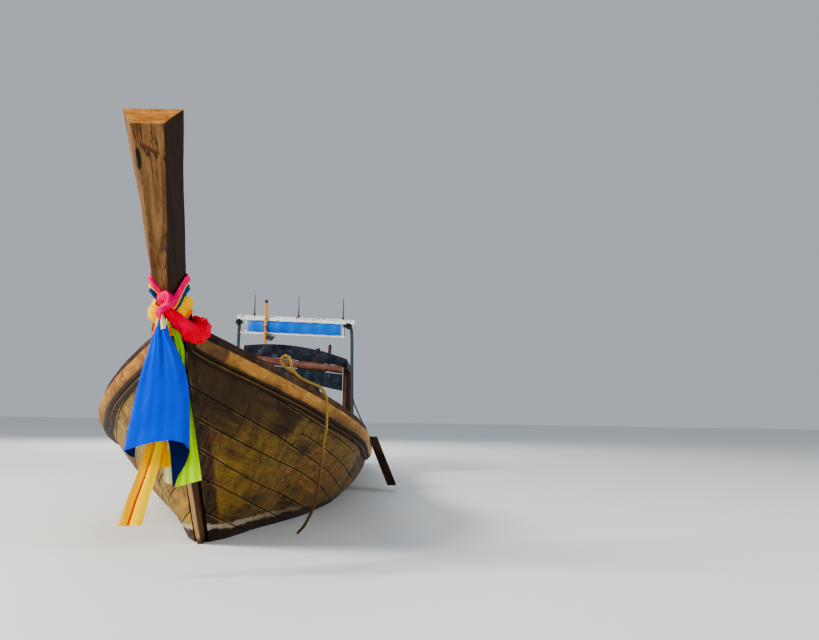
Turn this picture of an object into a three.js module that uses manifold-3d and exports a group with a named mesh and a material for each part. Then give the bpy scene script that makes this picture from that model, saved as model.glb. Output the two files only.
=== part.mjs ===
// Wooden longtail boat, bow and stern up to the propeller. Millimetres.
// +X forward, +Y port, +Z up; the origin is on the centreline at the waterline.
import * as THREE from 'three';
import Module from 'manifold-3d';

const wasm = await Module();
wasm.setup();

const HALF_BEAM = 1029;
const ENTRY_LENGTH = 2683;
const ENTRY_POWER = 1.863;
const STEM_X = 5891;
const STEM_Z = 1339;
const LOW_X = 900;
const LOW_Z = 480;
const AFT_TAPER_X = 1000;
const STERN_X = -5700;
const STERN_Z = 800;
const STERN_HALF = 590;
const KEEL_HALF = 44.7;
const KEEL_DEPTH = 90;
const PLANK = 32;
const RAIL_HEIGHT = 105;
const RAIL_PROUD = 55;
const CAP_HEIGHT = 62;
const RIB_DEPTH = 45;
const SOLE_Z = -125;
const GAP = 0.4;
const THWART_Z = 320;
const PIVOT_X = -5150;
const PIVOT_Z = 1200;
const SHAFT_SLOPE = THREE.MathUtils.degToRad(17);
const SHAFT_UP = 120;

const KEEL_LINE = [
  [-5700, -120], [-4400, -200], [-3000, -250], [-1200, -283], [3700, -285], [4250, -262],
  [4620, -130], [4800, 0], [5120, 360], [5550, 900], [5891, 1339],
];
const FULLNESS = [
  [-5700, 2.4], [-2000, 2.2], [-210, 2.05], [890, 1.77], [2010, 1.62], [3020, 1.36],
  [3750, 1.1], [4190, 0.95], [4700, 1.0], [5891, 1.0],
];
const STATIONS = [];
for (let x = STERN_X; x <= 3300; x += 450) STATIONS.push(x);
for (let x = 3525; x <= 5100; x += 225) STATIONS.push(x);
STATIONS.push(5250, 5400, 5550, 5680, 5760);

const OAK = 0x6e4b32;
const TAN = 0xbe8c46;
const HULL_BROWN = 0x78602f;
const DARK_WOOD = 0x3a281c;

const group = new THREE.Group();

function add(name, geometry, color, metalness = 0, roughness = 0.8) {
  const material = new THREE.MeshStandardMaterial({ color, metalness, roughness });
  const mesh = new THREE.Mesh(geometry, material);
  mesh.name = name;
  group.add(mesh);
}

function lookup(table, x) {
  if (x <= table[0][0]) return table[0][1];
  for (let i = 1; i < table.length; i += 1) {
    const [x1, v1] = table[i];
    const [x0, v0] = table[i - 1];
    if (x <= x1) return v0 + (v1 - v0) * (x - x0) / (x1 - x0);
  }
  return table[table.length - 1][1];
}

function clamp01(v) {
  return Math.min(1, Math.max(0, v));
}

// Height of the planking's top edge.
function sheer(x) {
  const fore = Math.max(0, (x - LOW_X) / (STEM_X - LOW_X));
  const aft = clamp01((LOW_X - x) / (LOW_X - STERN_X));
  return LOW_Z + (STEM_Z - LOW_Z) * fore ** 2 + (STERN_Z - LOW_Z) * aft ** 2;
}

// Half breadth over the planking at its top edge.
function beam(x) {
  const entry = 1 - (1 - clamp01((STEM_X - x) / ENTRY_LENGTH)) ** ENTRY_POWER;
  const aft = clamp01((AFT_TAPER_X - x) / (AFT_TAPER_X - STERN_X));
  const edge = (HALF_BEAM + RAIL_PROUD) * entry - RAIL_PROUD;
  return Math.max(KEEL_HALF + 12, edge * (1 - (1 - STERN_HALF / HALF_BEAM) * aft ** 2.2));
}

// A closed body from triangles; it is turned inside out if they face inwards.
function closed(points, faces) {
  let volume = 0;
  for (const [a, b, c] of faces) {
    const [p, q, r] = [points[a], points[b], points[c]];
    volume += p[0] * (q[1] * r[2] - q[2] * r[1]) - p[1] * (q[0] * r[2] - q[2] * r[0])
      + p[2] * (q[0] * r[1] - q[1] * r[0]);
  }
  const geometry = new THREE.BufferGeometry();
  geometry.setAttribute('position', new THREE.Float32BufferAttribute(points.flat(), 3));
  geometry.setIndex((volume < 0 ? faces.map(([a, b, c]) => [a, c, b]) : faces).flat());
  return geometry;
}

// A wall between two grids of points, [station][place across], closed round its edges.
function shell(outer, inner) {
  const rows = outer.length;
  const cols = outer[0].length;
  const points = [...outer.flat(), ...inner.flat()];
  const out = (i, j) => i * cols + j;
  const inn = (i, j) => rows * cols + i * cols + j;
  const faces = [];
  const quad = (a, b, c, d) => faces.push([a, b, c], [a, c, d]);
  for (let i = 0; i < rows - 1; i += 1) {
    for (let j = 0; j < cols - 1; j += 1) {
      quad(out(i, j), out(i + 1, j), out(i + 1, j + 1), out(i, j + 1));
      quad(inn(i, j), inn(i, j + 1), inn(i + 1, j + 1), inn(i + 1, j));
    }
    quad(out(i, 0), inn(i, 0), inn(i + 1, 0), out(i + 1, 0));
    quad(out(i, cols - 1), out(i + 1, cols - 1), inn(i + 1, cols - 1), inn(i, cols - 1));
  }
  for (let j = 0; j < cols - 1; j += 1) {
    const last = rows - 1;
    quad(out(0, j), out(0, j + 1), inn(0, j + 1), inn(0, j));
    quad(out(last, j), inn(last, j), inn(last, j + 1), out(last, j + 1));
  }
  return closed(points, faces);
}

// A solid through rings of the same number of corners, one behind another.
function loft(rings) {
  const count = rings[0].length;
  const points = rings.flat();
  const faces = [];
  for (let k = 0; k < rings.length - 1; k += 1) {
    for (let i = 0; i < count; i += 1) {
      const [a, b] = [k * count + i, k * count + (i + 1) % count];
      faces.push([a, b, b + count], [a, b + count, a + count]);
    }
  }
  for (const [start, ahead] of [[0, false], [(rings.length - 1) * count, true]]) {
    for (let i = 1; i < count - 1; i += 1) {
      faces.push(ahead ? [start, start + i, start + i + 1] : [start, start + i + 1, start + i]);
    }
  }
  return closed(points, faces);
}

function box(x0, x1, y0, y1, z0, z1) {
  const geometry = new THREE.BoxGeometry(x1 - x0, y1 - y0, z1 - z0);
  return geometry.translate((x0 + x1) / 2, (y0 + y1) / 2, (z0 + z1) / 2);
}

// A round bar from one point to another.
function bar(from, to, radius, endRadius = radius, sides = 12) {
  const a = new THREE.Vector3(...from);
  const b = new THREE.Vector3(...to);
  const geometry = new THREE.CylinderGeometry(endRadius, radius, a.distanceTo(b), sides);
  const turn = new THREE.Quaternion().setFromUnitVectors(
    new THREE.Vector3(0, 1, 0),
    b.clone().sub(a).normalize(),
  );
  return geometry.applyQuaternion(turn).translate(...a.add(b).multiplyScalar(0.5));
}

// A round section carried along a smooth line through the points.
function tube(points, radius, steps, sides = 8) {
  const path = new THREE.CatmullRomCurve3(points.map((p) => new THREE.Vector3(...p)));
  const shape = new THREE.Shape();
  for (let k = 0; k < sides; k += 1) {
    const turn = (2 * Math.PI * k) / sides;
    const corner = [radius * Math.cos(turn), radius * Math.sin(turn)];
    if (k === 0) shape.moveTo(...corner);
    else shape.lineTo(...corner);
  }
  shape.closePath();
  return new THREE.ExtrudeGeometry(shape, { steps, bevelEnabled: false, extrudePath: path });
}

function toManifold(geometry) {
  const position = geometry.getAttribute('position');
  const order = geometry.index
    ? Array.from(geometry.index.array)
    : Array.from({ length: position.count }, (_, i) => i);
  const seen = new Map();
  const points = [];
  const same = (i) => {
    const p = [position.getX(i), position.getY(i), position.getZ(i)];
    const key = p.map((v) => Math.round(v * 1000)).join();
    if (!seen.has(key)) {
      seen.set(key, points.length / 3);
      points.push(...p);
    }
    return seen.get(key);
  };
  const corners = order.map(same);
  const kept = [];
  for (let i = 0; i < corners.length; i += 3) {
    const [a, b, c] = corners.slice(i, i + 3);
    if (a !== b && b !== c && a !== c) kept.push(a, b, c);
  }
  return new wasm.Manifold(new wasm.Mesh({
    numProp: 3,
    vertProperties: new Float32Array(points),
    triVerts: new Uint32Array(kept),
  }));
}

function fromManifold(manifold) {
  const mesh = manifold.getMesh();
  const geometry = new THREE.BufferGeometry();
  const points = new Float32Array((mesh.vertProperties.length / mesh.numProp) * 3);
  for (let i = 0; i < points.length / 3; i += 1) {
    for (let k = 0; k < 3; k += 1) points[3 * i + k] = mesh.vertProperties[mesh.numProp * i + k];
  }
  geometry.setAttribute('position', new THREE.BufferAttribute(points, 3));
  geometry.setIndex(Array.from(mesh.triVerts));
  return geometry;
}

function join(...geometries) {
  return fromManifold(wasm.Manifold.union(geometries.map(toManifold)));
}

function cut(geometry, ...tools) {
  return fromManifold(tools.map(toManifold).reduce((a, b) => a.subtract(b), toManifold(geometry)));
}

// The planking's section at one station: outside and inside, keel to top edge.
function section(x) {
  const count = 8;
  const keel = lookup(KEEL_LINE, x);
  const top = sheer(x);
  const half = beam(x);
  const power = lookup(FULLNESS, x);
  const foot = KEEL_HALF + GAP;
  const strip = Math.min(RAIL_HEIGHT, (top - keel) * 0.8);
  const last = Math.acos((strip / (top - keel)) ** (power / 2));
  const outer = [];
  for (let j = 0; j < count; j += 1) {
    const turn = (last * j) / (count - 1);
    outer.push([
      foot + (half - foot) * Math.sin(turn) ** (2 / power),
      keel + (top - keel) * (1 - Math.cos(turn) ** (2 / power)),
    ]);
  }
  outer.push([half, top]);
  const inner = outer.map(([y, z], j) => {
    const [y0, z0] = outer[Math.max(0, j - 1)];
    const [y1, z1] = outer[Math.min(count, j + 1)];
    const long = Math.hypot(y1 - y0, z1 - z0);
    if (j === 0) return [foot, z + Math.max(3, (PLANK * (y1 - y0)) / long)];
    if (j === count) return [Math.max(foot, y - (PLANK * long) / (z1 - z0)), z];
    return [Math.max(foot, y - (PLANK * (z1 - z0)) / long), z + (PLANK * (y1 - y0)) / long];
  });
  for (let j = 1; j < count; j += 1) inner[j][1] = Math.max(inner[j][1], inner[j - 1][1] + 0.5);
  return { x, outer, inner };
}

const SKIN = STATIONS.map(section);

function skinAt(x, face) {
  let k = 1;
  while (k < SKIN.length - 1 && SKIN[k].x < x) k += 1;
  const [a, b] = [SKIN[k - 1], SKIN[k]];
  const part = (x - a.x) / (b.x - a.x);
  return a[face].map(([y, z], j) => [
    y + (b[face][j][0] - y) * part,
    z + (b[face][j][1] - z) * part,
  ]);
}

// The planks' inside face cut across at x, with the point on each panel's diagonal too.
function cutAcross(x) {
  let k = 1;
  while (k < SKIN.length - 1 && SKIN[k].x < x) k += 1;
  const [a, b] = [SKIN[k - 1], SKIN[k]];
  const part = (x - a.x) / (b.x - a.x);
  return skinAt(x, 'inner').flatMap((point, j) => {
    if (j === a.inner.length - 1) return [point];
    return [point, a.inner[j].map((v, axis) => v + (b.inner[j + 1][axis] - v) * part)];
  });
}

const SIDES = [
  { side: 'port', sign: 1 },
  { side: 'starboard', sign: -1 },
];

function planking(sign) {
  const face = (key) => SKIN.map((s) => s[key].map(([y, z]) => [s.x, sign * y, z]));
  return shell(face('outer'), face('inner'));
}

// Sawn backbone timber under the planking.
function keel() {
  const rings = [];
  for (let x = -5650; x <= 4250; x += 450) {
    const z = lookup(KEEL_LINE, x);
    const [bottom, top] = [z - KEEL_DEPTH, z + 25];
    rings.push([
      [x, -KEEL_HALF, bottom], [x, KEEL_HALF, bottom], [x, KEEL_HALF, top], [x, -KEEL_HALF, top],
    ]);
  }
  return loft(rings);
}

// Stem from the forefoot up to the flat head: front edge, back edge, half widths.
const STEM = [
  { front: [4262, -352], back: [4252, -238], nose: 30, rear: 44.7 },
  { front: [4560, -255], back: [4440, -120], nose: 20, rear: 44.7 },
  { front: [4900, 0], back: [4680, 90], nose: 14, rear: 44.7 },
  { front: [5250, 365], back: [5030, 440], nose: 14, rear: 44.7 },
  { front: [5700, 870], back: [5480, 980], nose: 16, rear: 44.7 },
  { front: [5925, 1125], back: [5730, 1230], nose: 20, rear: 44.7 },
  { front: [6020, 1238], back: [5822, 1314], nose: 25, rear: 44.7 },
  { front: [6110, 1345], back: [5905, 1395], nose: 30, rear: 58 },
  { front: [6254, 1549], back: [6052, 1580], nose: 40, rear: 96 },
  { front: [6416, 1905], back: [6276, 1938], nose: 58, rear: 116 },
  { front: [6528, 2078], back: [6400, 2125], nose: 70, rear: 132 },
  { front: [6643, 2226], back: [6533, 2338], nose: 82, rear: 152 },
];

function stemRings(grow = 0, slices = STEM) {
  return slices.map(({ front, back, nose, rear }) => {
    const long = Math.hypot(front[0] - back[0], front[1] - back[1]);
    const [ux, uz] = [(front[0] - back[0]) / long, (front[1] - back[1]) / long];
    const [fx, fz] = [front[0] + grow * ux, front[1] + grow * uz];
    const [bx, bz] = [back[0] - grow * ux, back[1] - grow * uz];
    return [
      [fx, -nose - grow, fz], [fx, nose + grow, fz], [bx, rear + grow, bz], [bx, -rear - grow, bz],
    ];
  });
}

// Flat plank across the stern, with a low top for the shaft to swing over.
function transom() {
  const line = skinAt(STERN_X, 'outer');
  const shape = new THREE.Shape();
  shape.moveTo(-500, 750);
  line.slice().reverse().forEach(([y, z]) => shape.lineTo(-y, z));
  line.forEach(([y, z]) => shape.lineTo(y, z));
  shape.lineTo(500, 750);
  const plate = new THREE.ExtrudeGeometry(shape, { depth: 34, bevelEnabled: false });
  plate.applyMatrix4(new THREE.Matrix4().set(0, 0, 1, 0, 1, 0, 0, 0, 0, 1, 0, 0, 0, 0, 0, 1));
  return plate.translate(STERN_X - 34 - GAP, 0, 0);
}

// Rubbing strake outside the top plank.
function rubRail(sign) {
  const tip = { x: 5895, outer: [[66, 1236], [70, 1341]] };
  const rows = [...SKIN.map((s) => ({ x: s.x, outer: s.outer.slice(-2) })), tip];
  const near = rows.map(({ x, outer }) => outer.map(([y, z]) => [x, sign * (y + 1), z]));
  const far = rows.map(({ x, outer }) => outer.map(([y, z], j) => [
    x, sign * (y + (j ? RAIL_PROUD - 8 : RAIL_PROUD)), z + (j ? 0 : 8),
  ]));
  return shell(far, near);
}

// Dark capping on the planks' top edges.
function gunwaleCap(sign) {
  const rows = [...SKIN.map((s) => ({ x: s.x, out: s.outer[8], inn: s.inner[8] })),
    { x: 5895, out: [100, 1341], inn: [68, 1341] }];
  const level = (up) => rows.map(({ x, out, inn }, i) => {
    const lip = Math.min(22, Math.max(0, inn[0] - 80));
    return [[x, sign * (out[0] + 20), out[1] + up], [x, sign * (inn[0] - lip), out[1] + up]];
  });
  return shell(level(GAP), level(CAP_HEIGHT));
}

// A rib's free edge: the planks' inside face set in by the rib's depth.
function freeEdge(line) {
  const edge = line.map(([y, z], j) => {
    const [y0, z0] = line[Math.max(0, j - 1)];
    const [y1, z1] = line[Math.min(8, j + 1)];
    const long = Math.hypot(y1 - y0, z1 - z0);
    return [y - (RIB_DEPTH * (z1 - z0)) / long, z + (RIB_DEPTH * (y1 - y0)) / long];
  });
  edge[8] = [line[8][0] - RIB_DEPTH - 2, line[8][1] - 2];
  return edge;
}

function widthAt(line, z) {
  for (let j = 1; j < line.length; j += 1) {
    const [y0, z0] = line[j - 1];
    const [y1, z1] = line[j];
    if (z <= z1) return z <= z0 ? y0 : y0 + ((y1 - y0) * (z - z0)) / (z1 - z0);
  }
  return line[line.length - 1][0];
}

// The planks' inside line where a rib stands, its free edge and the level of its floor timber.
function ribLines(x, at) {
  const level = Math.max(SOLE_Z - 25, lookup(KEEL_LINE, x) + PLANK + RIB_DEPTH + 15);
  const line = skinAt(at, 'inner');
  const rise = (line[1][1] - line[0][1]) / (line[1][0] - line[0][0]);
  const hug = line.map(([y, z], j) => [y - 1.2, z + (j === 8 ? -2 : 1.2)]);
  hug[0] = [KEEL_HALF + 2, line[0][1] + 1.2 + 3 * rise];
  const free = freeEdge(line);
  return { level, hug, free, joint: widthAt(free, level) };
}

function heightAt(line, y) {
  let j = 1;
  while (j < line.length - 1 && line[j][0] < y) j += 1;
  const [[y0, z0], [y1, z1]] = [line[j - 1], line[j]];
  return z0 + ((z1 - z0) * (y - y0)) / (y1 - y0);
}

// A slice 50 mm long between two like outlines across the boat.
function slice(x, outline) {
  const rings = [x - 25, x + 25].map((at) => outline(at).map(([y, z]) => [at, y, z]));
  const count = rings[0].length;
  const contour = rings[0].map(([, y, z]) => new THREE.Vector2(y, z));
  const faces = [];
  for (let i = 0; i < count; i += 1) {
    const next = (i + 1) % count;
    faces.push([i, next, next + count], [i, next + count, i + count]);
  }
  const turned = THREE.ShapeUtils.isClockWise(contour) ? 1 : 0;
  for (const corners of THREE.ShapeUtils.triangulateShape(contour, [])) {
    const [a, b, c] = turned ? corners : [...corners].reverse();
    faces.push([a, b, c], [c + count, b + count, a + count]);
  }
  return closed(rings.flat(), faces);
}

// A side rib, from the end of its floor timber up to the rail.
function rib(x, sign) {
  const mid = ribLines(x, x);
  const lowest = mid.free.findIndex(([, z]) => z > mid.level + 1);
  const first = mid.hug.findIndex(([y]) => y > mid.joint + 8);
  return slice(x, (at) => {
    const { level, hug, free, joint } = ribLines(x, at);
    const ring = [
      [joint + 0.2, heightAt(hug, joint + 0.2)], ...hug.slice(first),
      ...free.slice(lowest).reverse(), [joint + 0.2, level],
    ];
    return ring.map(([y, z]) => [sign * y, z]);
  });
}

// A floor timber across the keel with a level top.
function floorTimber(x) {
  const mid = ribLines(x, x);
  const last = mid.hug.findIndex(([y]) => y > mid.joint - 8);
  return slice(x, (at) => {
    const { level, hug, joint } = ribLines(x, at);
    const keelTop = lookup(KEEL_LINE, at) + 28.5;
    const half = [
      [43.5, keelTop], [44, hug[0][1]], ...hug.slice(0, last),
      [joint - 0.2, heightAt(hug, joint - 0.2)], [joint - 0.2, level],
    ];
    return [...half, ...half.map(([y, z]) => [-y, z]).reverse()];
  });
}

const RIBS = STATIONS.filter((x) => x > -5400 && x <= 3300);

// Ribs tied together by a stringer.
function frames(sign) {
  return join(...RIBS.map((x) => rib(x, sign)), stringer(sign));
}

// Floor timbers tied together by a keelson let into their tops.
function floorTimbers() {
  const ends = (x) => (x === RIBS[0] ? x - 20 : x === RIBS[RIBS.length - 1] ? x + 20 : x);
  const keelson = loft(RIBS.map((x) => {
    const { level } = ribLines(x, x);
    const at = ends(x);
    return [[at, -50, level - 45], [at, 50, level - 45], [at, 50, level - 3], [at, -50, level - 3]];
  }));
  return join(...RIBS.map(floorTimber), keelson);
}

function stringer(sign) {
  const level = (depth) => RIBS.map((x, i) => {
    const end = i === 0 ? -20 : i === RIBS.length - 1 ? 20 : 0;
    const line = skinAt(x + end, 'inner');
    return [line[7], line[8]].map(([y, z], j) => {
      const drop = j ? 0.35 : 0.05;
      const [yy, zz] = [line[7][0] + (line[8][0] - line[7][0]) * drop,
        line[7][1] + (line[8][1] - line[7][1]) * drop];
      return [x + end, sign * (yy - depth), zz];
    });
  });
  return shell(level(RIB_DEPTH - 12), level(RIB_DEPTH + 22));
}

// A flat deck, thwart or sole, out to the ribs or, where there are none, to the planks.
function platform(xs, top, thick, inset = 0.7, ribbed = true) {
  const rows = xs.map((x) => {
    if (ribbed) return widthAt(freeEdge(skinAt(x, 'inner')), top - thick) - inset;
    return widthAt(cutAcross(x), top - thick) - 1.4;
  });
  const level = (z) => xs.map((x, i) => [[x, -rows[i], z], [x, rows[i], z]]);
  return shell(level(top), level(top - thick));
}

function range(from, to, step) {
  const list = [];
  for (let x = from; x < to - 1; x += step) list.push(x);
  return [...list, to];
}

const THWARTS = [
  { name: 'thwart_1', x: 2400, long: 240 },
  { name: 'thwart_2', x: 1050, long: 240 },
  { name: 'thwart_3', x: -300, long: 240 },
  { name: 'thwart_4', x: -1350, long: 360 },
  { name: 'thwart_5', x: -2550, long: 240 },
  { name: 'thwart_6', x: -3780, long: 300 },
];

function buildHull() {
  add('keel', keel(), DARK_WOOD);
  add('stem_prow', loft(stemRings()), OAK);
  for (const { side, sign } of SIDES) {
    add(`planking_${side}`, planking(sign), HULL_BROWN);
    add(`rub_rail_${side}`, rubRail(sign), TAN);
    add(`gunwale_cap_${side}`, gunwaleCap(sign), DARK_WOOD);
    add(`frames_${side}`, frames(sign), OAK);
  }
  add('floor_timbers', floorTimbers(), OAK);
  add('transom', transom(), HULL_BROWN);
  add('floor_boards', platform(range(-3000, 3300, 450), SOLE_Z, 24.6, 2), OAK);
  add('foredeck', platform(range(3525, 5080, 56.25), 620, 30, 0, false), OAK);
  add('aft_deck', platform([-5685, -5250, -4800, -4350, -4200], 560, 30), OAK);
  for (const { name, x, long } of THWARTS) {
    add(name, platform([x - long / 2, x, x + long / 2], THWART_Z, 35), OAK);
  }
}

// Two posts, two cross bars with a banner between them and three thin rods on top.
const GANTRY = { x: -1336, half: 757, foot: 800, top: 2146, deep: 66, lower: 1905, tilt: -0.027 };

function buildGantry() {
  const { x, half, foot, top, deep, lower, tilt } = GANTRY;
  const at = (y, z) => [x, y, z + tilt * y];
  const under = top - deep;
  const posts = SIDES.map(({ sign }) => bar([x, sign * foot, 300], at(sign * half, under + 6), 22));
  const bars = [
    box(x - 18, x + 18, -790, 797, under, top),
    box(x - 14, x + 14, -757, 757, lower - 12, lower + 12),
  ].map((b) => b.translate(0, 0, -top).rotateX(tilt).translate(0, 0, top));
  const stays = SIDES.map(({ sign }) => (
    bar([x, sign * 1010, sheer(x) + CAP_HEIGHT + 4.4], [x, sign * 786, 1045], 9, 9, 8)
  ));
  const below = box(x - 40, x + 40, -900, 900, 250, THWART_Z + GAP);
  add('banner_frame', cut(join(...posts, ...bars, ...stays), below), 0x3c4044, 0.6, 0.5);
  const panel = box(x - 6, x + 6, -640, 640, lower + 12.6, under - 0.6);
  panel.translate(0, 0, -top).rotateX(tilt).translate(0, 0, top);
  add('banner_panel', panel, 0x0073e1);
  const rods = [
    { name: 'rod_starboard', y: -559 },
    { name: 'rod_middle', y: 35 },
    { name: 'rod_port', y: 638 },
  ];
  for (const { name, y } of rods) {
    add(name, bar(at(y, top + 1), at(y, top + 284), 8, 4, 8), 0x1e1a1c);
  }
  add('flag_pole', bar([x + 38.6, -400, 1780], [x + 38.6, -400, 2370], 20, 20, 12), 0xe08a1c);
  add('spotlight', bar([x + 14.4, -329, 1861], [x + 120, -329, 1861], 48, 48, 16), 0x14161c);
}

const CANOPY = { front: -1430, rear: -3790, half: 700, middle: 1764, lean: -0.1164, bend: 0.1765, skirt: 120 };
const ARC_STEPS = 8;

// Height of the roof's outside: an arch that leans down to port.
function roofHeight(y) {
  const { middle, lean, bend } = CANOPY;
  return middle + lean * y - bend * y * y / 1000;
}

// Points of the roof's arch, eave to eave, a given depth under its outside.
function arch(x, under) {
  return Array.from({ length: ARC_STEPS + 1 }, (_, j) => {
    const y = (-1 + (2 * j) / ARC_STEPS) * CANOPY.half;
    return [x, y * (1 - under / CANOPY.half), roofHeight(y) - under];
  });
}

function roofSheet(x0, x1) {
  const { half, skirt } = CANOPY;
  const hem = (x, sign, under) => [x, sign * (half + 4 - under), roofHeight(sign * half) - skirt];
  const rows = (under) => [x0, (x0 + x1) / 2, x1].map((x) => (
    [hem(x, -1, under), ...arch(x, under), hem(x, 1, under)]
  ));
  return shell(rows(0), rows(5));
}

const ROLL_RADIUS = 58;

function rollHeight(y) {
  return 1515 - 0.105 * y;
}

function buildCanopy() {
  const { front, rear, half } = CANOPY;
  const eave = (sign) => roofHeight(sign * half);
  add('canopy_roof', roofSheet(front, rear), 0x0c1230);
  const bows = [front - 60, -2240, -3010, rear + 60].map((x) => shell(
    [arch(x - 12, 5.4), arch(x + 12, 5.4)],
    [arch(x - 12, 32), arch(x + 12, 32)],
  ));
  const rails = SIDES.map(({ sign }) => box(
    rear + 30, front - 30, Math.min(sign * (half - 8), sign * (half - 40)),
    Math.max(sign * (half - 8), sign * (half - 40)), eave(sign) - 62, eave(sign) - 24,
  ));
  add('canopy_frame', join(...bows, ...rails), 0x8a6a48);
  const posts = [
    { place: 'front', x: -1475 },
    { place: 'middle', x: -2550 },
    { place: 'rear', x: -3720 },
  ];
  for (const { place, x } of posts) {
    for (const { side, sign } of SIDES) {
      const [y0, y1] = [sign * 652, sign * 692];
      const top = eave(sign) - 62 - GAP;
      const post = box(x - 20, x + 20, Math.min(y0, y1), Math.max(y0, y1), THWART_Z + GAP, top);
      add(`canopy_post_${place}_${side}`, post, 0x6b4a30);
    }
  }
  const rollEnd = (y) => [front + 8, y, rollHeight(y)];
  add('curtain_roll', bar(rollEnd(-645), rollEnd(645), ROLL_RADIUS, ROLL_RADIUS, 16), 0x96605a);
  const drop = (x) => [-645, 0, 645].map((y) => (
    [[x, y, rollHeight(y) - ROLL_RADIUS - 0.4], [x, y, 1295 - 0.2 * y]]
  ));
  add('front_curtain', shell(drop(front + 12), drop(front + 4)), 0x10141e);
  const valance = (x) => arch(x, 0).map(([, y, z]) => [[x, y, z], [x, y, rollHeight(y) + ROLL_RADIUS + 0.15]]);
  add('canopy_valance', shell(valance(front + 5.4), valance(front + 0.4)), 0x0c1230);
}

// Boarding ladder hooked over the port gunwale, leaning out at the foot.
const LADDER = { x0: 340, x1: 640, top: 600, foot: 70, out: 1134, lean: 0.4226, deep: 98 };

function ladderY(z) {
  return LADDER.out + (480 - z) * LADDER.lean;
}

function buildSideLadder() {
  const { x0, x1, top, foot, deep } = LADDER;
  const side = (x) => loft([-18, 18].map((dx) => [
    [x + dx, ladderY(top) - deep / 2, top], [x + dx, ladderY(top) + deep / 2, top],
    [x + dx, ladderY(foot) + deep / 2, foot], [x + dx, ladderY(foot) - deep / 2, foot],
  ]));
  const seat = LOW_Z + CAP_HEIGHT + 3;
  const hook = (x) => box(x - 18, x + 18, 960, ladderY(seat + 20), seat, seat + 40);
  const rungs = [180, 340].map((z) => (
    box(x0, x1, ladderY(z) - 32, ladderY(z) + 32, z - 14, z + 14)
  ));
  add('side_ladder', join(side(x0), side(x1), hook(x0), hook(x1), ...rungs), 0x3c2a1e);
}

// Mooring line over the port rail, with its bitt on the foredeck.
const ROPE = [
  [4863.4, 33.3, 760], [4874, 76, 762], [4910, 200, 800], [4865, 340, 875], [4775, 455, 970],
  [4728, 545, 1026], [4742, 588, 1082], [4765, 575, 1112], [4778, 540, 1138], [4780, 505, 1165],
  [4780, 484, 1191], [4782, 483, 1217], [4790, 506, 1236], [4800, 536, 1222], [4808, 551, 1190],
  [4810, 557, 1156], [4806, 580, 1119], [4797, 606, 1094], [4772, 628, 1079], [4730, 652, 1068],
  [4690, 675, 1058], [4660, 701, 1048], [4638, 727, 1038], [4622, 752, 1020], [4604, 777, 975],
  [4595, 785, 900], [4582, 785, 760], [4560, 769, 666], [4530, 751, 476], [4490, 714, 239],
  [4440, 647, 84], [4402, 590, 12],
];

function buildMooring() {
  add('mooring_bitt', join(
    bar([4900, 0, 620.4], [4900, 0, 900], 42, 38, 16),
    bar([4900, -130, 830], [4900, 130, 830], 18, 18, 10),
  ), 0x5a4030);
  add('mooring_rope', tube(ROPE, 11, 90), 0xe6be46);
}

// A hanging cloth: rows of height, starboard edge and port edge, at one station.
function hanging(x, rows) {
  const face = (at) => rows.map(([z, y0, y1, lead = 0]) => (
    [y0, (y0 + y1) / 2, y1].map((y) => [at + lead, y, z])
  ));
  return shell(face(x), face(x - 5));
}

// Cloths tied round the prow.
function buildSashes() {
  const around = (slices) => cut(loft(stemRings(30, slices)), loft(stemRings(1)));
  add('sash_wrap_lower', around([
    { front: [6120, 1362], back: [5925, 1417], nose: 33, rear: 65 },
    { front: [6182, 1448], back: [5983, 1490], nose: 36, rear: 80 },
  ]), 0xffc800);
  add('sash_wrap_upper', around([
    { front: [6183, 1449.5], back: [5984, 1491.5], nose: 36, rear: 80 },
    { front: [6254, 1549], back: [6052, 1580], nose: 40, rear: 96 },
  ]), 0xff008c);
  const knot = new THREE.SphereGeometry(46, 10, 8).scale(1, 1, 1.15).translate(6241, 22, 1400);
  const tail = tube([
    [6262, 40, 1372], [6272, 80, 1318], [6228, 158, 1262], [6155, 222, 1266], [6095, 276, 1296],
  ], 34, 16);
  add('scarf', join(knot, tail), 0xf01060);
  add('blue_sash', hanging(6235, [
    [1347.2, -8, 48], [1250, -25, 62], [1190, -50, 98], [1010, -90, 152], [800, -118, 176],
    [655, -147, 172], [620, -80, 140], [457, 88, 100],
  ]), 0x005adc);
  add('lime_sash', hanging(6229.6, [
    [1338, 6, 60], [1100, 60, 125], [850, 80, 180], [470, 114, 240],
  ]), 0xaae600);
  add('yellow_ribbon', hanging(6224.2, [
    [1334, -32, 14], [680, -32, 29], [250, -168, -58],
  ]), 0xffdc00);
}

// Points given along the shaft line are turned down and set on the swivel's pin.
function alongShaft(geometry) {
  return geometry.rotateY(-SHAFT_SLOPE).translate(PIVOT_X, 0, PIVOT_Z);
}

function buildTurret() {
  add('engine_beam', box(PIVOT_X - 90, PIVOT_X + 90, -560, 560, 560.4, 625), DARK_WOOD);
  const cheek = (y) => box(-45, 45, y - 6, y + 6, -125, 50);
  const fork = join(
    box(-70, 70, -150, 150, -140, -120),
    cheek(128),
    cheek(-128),
    bar([0, 0, -560], [0, 0, -130], 36, 36, 20),
    bar([0, 0, -574.6], [0, 0, -556], 85, 85, 24),
  );
  const pin = bar([0, -200, 0], [0, 200, 0], 16.35, 16.35, 24);
  add('turret', cut(fork, pin).translate(PIVOT_X, 0, PIVOT_Z), 0x4a4e52, 0.7, 0.5);
}

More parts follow.
